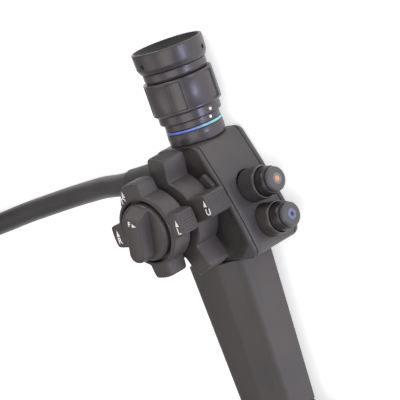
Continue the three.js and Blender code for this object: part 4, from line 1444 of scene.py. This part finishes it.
CUP_SCREWS = 3
CUP_SCREW_LEVEL = 80.2
CUP_SCREW_FIRST = -8
CUP_SCREW_HOLE = (1.35, 17.6, 22)
CUP_SCREW_SEAT = 18.3
CUP_SCREW_RADIUS = 1.2
CUP_SCREW_LENGTH = 1.4
cup_middle = EYE + Vector((0, CUP_SCREW_LEVEL, 0)) * MM
screw_holes = []
for k in range(CUP_SCREWS):
    way = round_eye(CUP_SCREW_FIRST + 360 / CUP_SCREWS * k)
    screw_holes.append(peg(*CUP_SCREW_HOLE, axis_at(cup_middle, way), 32))
cup_rubber = moulded("cup_rubber", (0.043, 0.038, 0.042), (0.052, 0.044, 0.047), 0.34)
cup = link("eye_rubber", carved(turned(CUP_PROFILE, eye_axis, 0.35, 144), screw_holes), cup_rubber)
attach(cup, "control_section")
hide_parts("eyecup")
# Painted shade: a thin near-black shell lines the cup's inner funnel, darker than the cup's rubber, and
# stands for the shade in the cup's hollow.
bowl_painted_shade = moulded("bowl_painted_shade", (0.006, 0.005, 0.006), (0.010, 0.008, 0.009), 0.6)
BOWL_PROFILE = [
    (9.1, 81.15),
    (13, 81.15),
    (17.2, 84.65),
    (18.6, 86.8),
    (18.6, 86.95),
    (17.1, 84.85),
    (12.9, 81.4),
    (9.1, 81.4),
]
shade_lining = link("eye_bowl", turned(BOWL_PROFILE, eye_axis, 0.3, 144), bowl_painted_shade)
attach(shade_lining, "control_section")
given = {"Count": (WHOLE, CUP_SCREWS), "Seat": (SIZE, CUP_SCREW_SEAT * MM)}
set_screws = Tree("set_screws", given)
inputs = {"Vertices": 24, "Radius": CUP_SCREW_RADIUS * MM, "Depth": CUP_SCREW_LENGTH * MM}
stub = set_screws.node("GeometryNodeMeshCylinder", {}, inputs)
lift = set_screws.node("ShaderNodeCombineXYZ", {}, {0: set_screws.given("Seat")})
quarter_turn = (0, math.pi / 2, 0)
inputs = {"Geometry": stub, "Translation": lift, "Rotation": quarter_turn}
stub = set_screws.node("GeometryNodeTransform", {}, inputs)
inputs = {"Count": set_screws.given("Count"), "Offset": (0, 0, 0)}
spots = set_screws.node("GeometryNodeMeshLine", {}, inputs)
index = set_screws.node("GeometryNodeInputIndex", {}, {})
turns = set_screws.maths("MULTIPLY", index, 2 * math.pi / CUP_SCREWS)
copies = set_screws.copies(spots, stub, set_screws.about_axis(turns))
screw_turn = Matrix.Rotation(math.radians(CUP_SCREW_FIRST - 90), 4, "Z")
screw_place = axis_at(cup_middle, (0, 1, 0)) @ screw_turn
cup_screws = set_screws.run("cup_screws", copies, screw_place, black_plastic)
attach(cup_screws, "control_section")

# Inner parts, seen only through gaps or not at all: each keeps its own shape from the packed
# model. Plate, shafts and rods are steel, drums, guide and holder brass, brake discs rubber,
# tubes, lens cell and eyepiece barrel black plastic, and the fibre bundles are sheathed.
steel = metal("inner_steel", (0.55, 0.56, 0.58), (0.42, 0.43, 0.44), 0.3, (300, 300, 2400))
brass = metal("drum_brass", (0.60, 0.44, 0.20), (0.48, 0.34, 0.15), 0.3, (300, 300, 2400))
sheathed = moulded("bundle_sheath", (0.26, 0.24, 0.21), (0.33, 0.31, 0.27), 0.6)
brake_rubber = moulded("brake_rubber", (0.028, 0.027, 0.028), (0.036, 0.034, 0.035), 0.6)
optical = Finish("coated_glass")
smears = optical.noise(160, 3)
optical.surface(
    {
        "Base Color": optical.mix(smears, (0.80, 0.88, 0.92), (0.88, 0.84, 0.95)),
        "Roughness": 0.02 + 0.05 * smears,
        "Transmission Weight": 1.0,
        "IOR": 1.5,
    }
)
INNER_PARTS = [
    (steel, ["chassis_plate", "knob_spindle", "rl_shaft", "centre_sleeve", "ud_shaft", "bearing_sleeve"]),
    (steel, ["up_wire_rod", "down_wire_rod", "left_wire_rod", "right_wire_rod"]),
    (brass, ["rl_drum", "ud_drum", "wire_guide_block", "bundle_holder"]),
    (brake_rubber, ["ud_brake_disc", "rl_brake_disc"]),
    (black_plastic, ["eyepiece_barrel", "lens_cell", "suction_tube", "air_water_tube"]),
    (sheathed, ["image_bundle", "light_guide_bundle"]),
    (optical.material, ["ocular_lens", "ocular_window"]),
]
for finish, nodes in INNER_PARTS:
    for node in nodes:
        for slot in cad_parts[node].material_slots:
            slot.material = finish

# Valve springs: one coil of stainless wire in each well, under the button's skirt. A coil closes
# up as its button is pressed; here it is drawn at one even pitch.
SPRING_RADIUS = 5.2
SPRING_WIRE = 0.35
SPRING_START = 4.1
SPRING_RISE = 3.7
SPRING_TURNS = 3.5
SPRING_FIRST = math.pi / 4
SPRING_STEPS = 84
WELL_FLOOR = 3.2
for name, axis in valve_axes.items():
    wire = []
    for step in range(SPRING_STEPS + 1):
        share = step / SPRING_STEPS
        angle = 2 * math.pi * SPRING_TURNS * share + SPRING_FIRST
        level = SPRING_START + SPRING_RISE * share
        round_wire = Vector((SPRING_RADIUS * math.cos(angle), SPRING_RADIUS * math.sin(angle), level))
        wire.append(axis @ (round_wire * MM))
    coil = link(f"{name}_coil", swept(wire, SPRING_WIRE * MM, 8), steel)
    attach(coil, "control_section")
    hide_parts(f"{name}_spring")
    floor_point = axis @ Vector((0, 0, WELL_FLOOR * MM))
    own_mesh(coil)
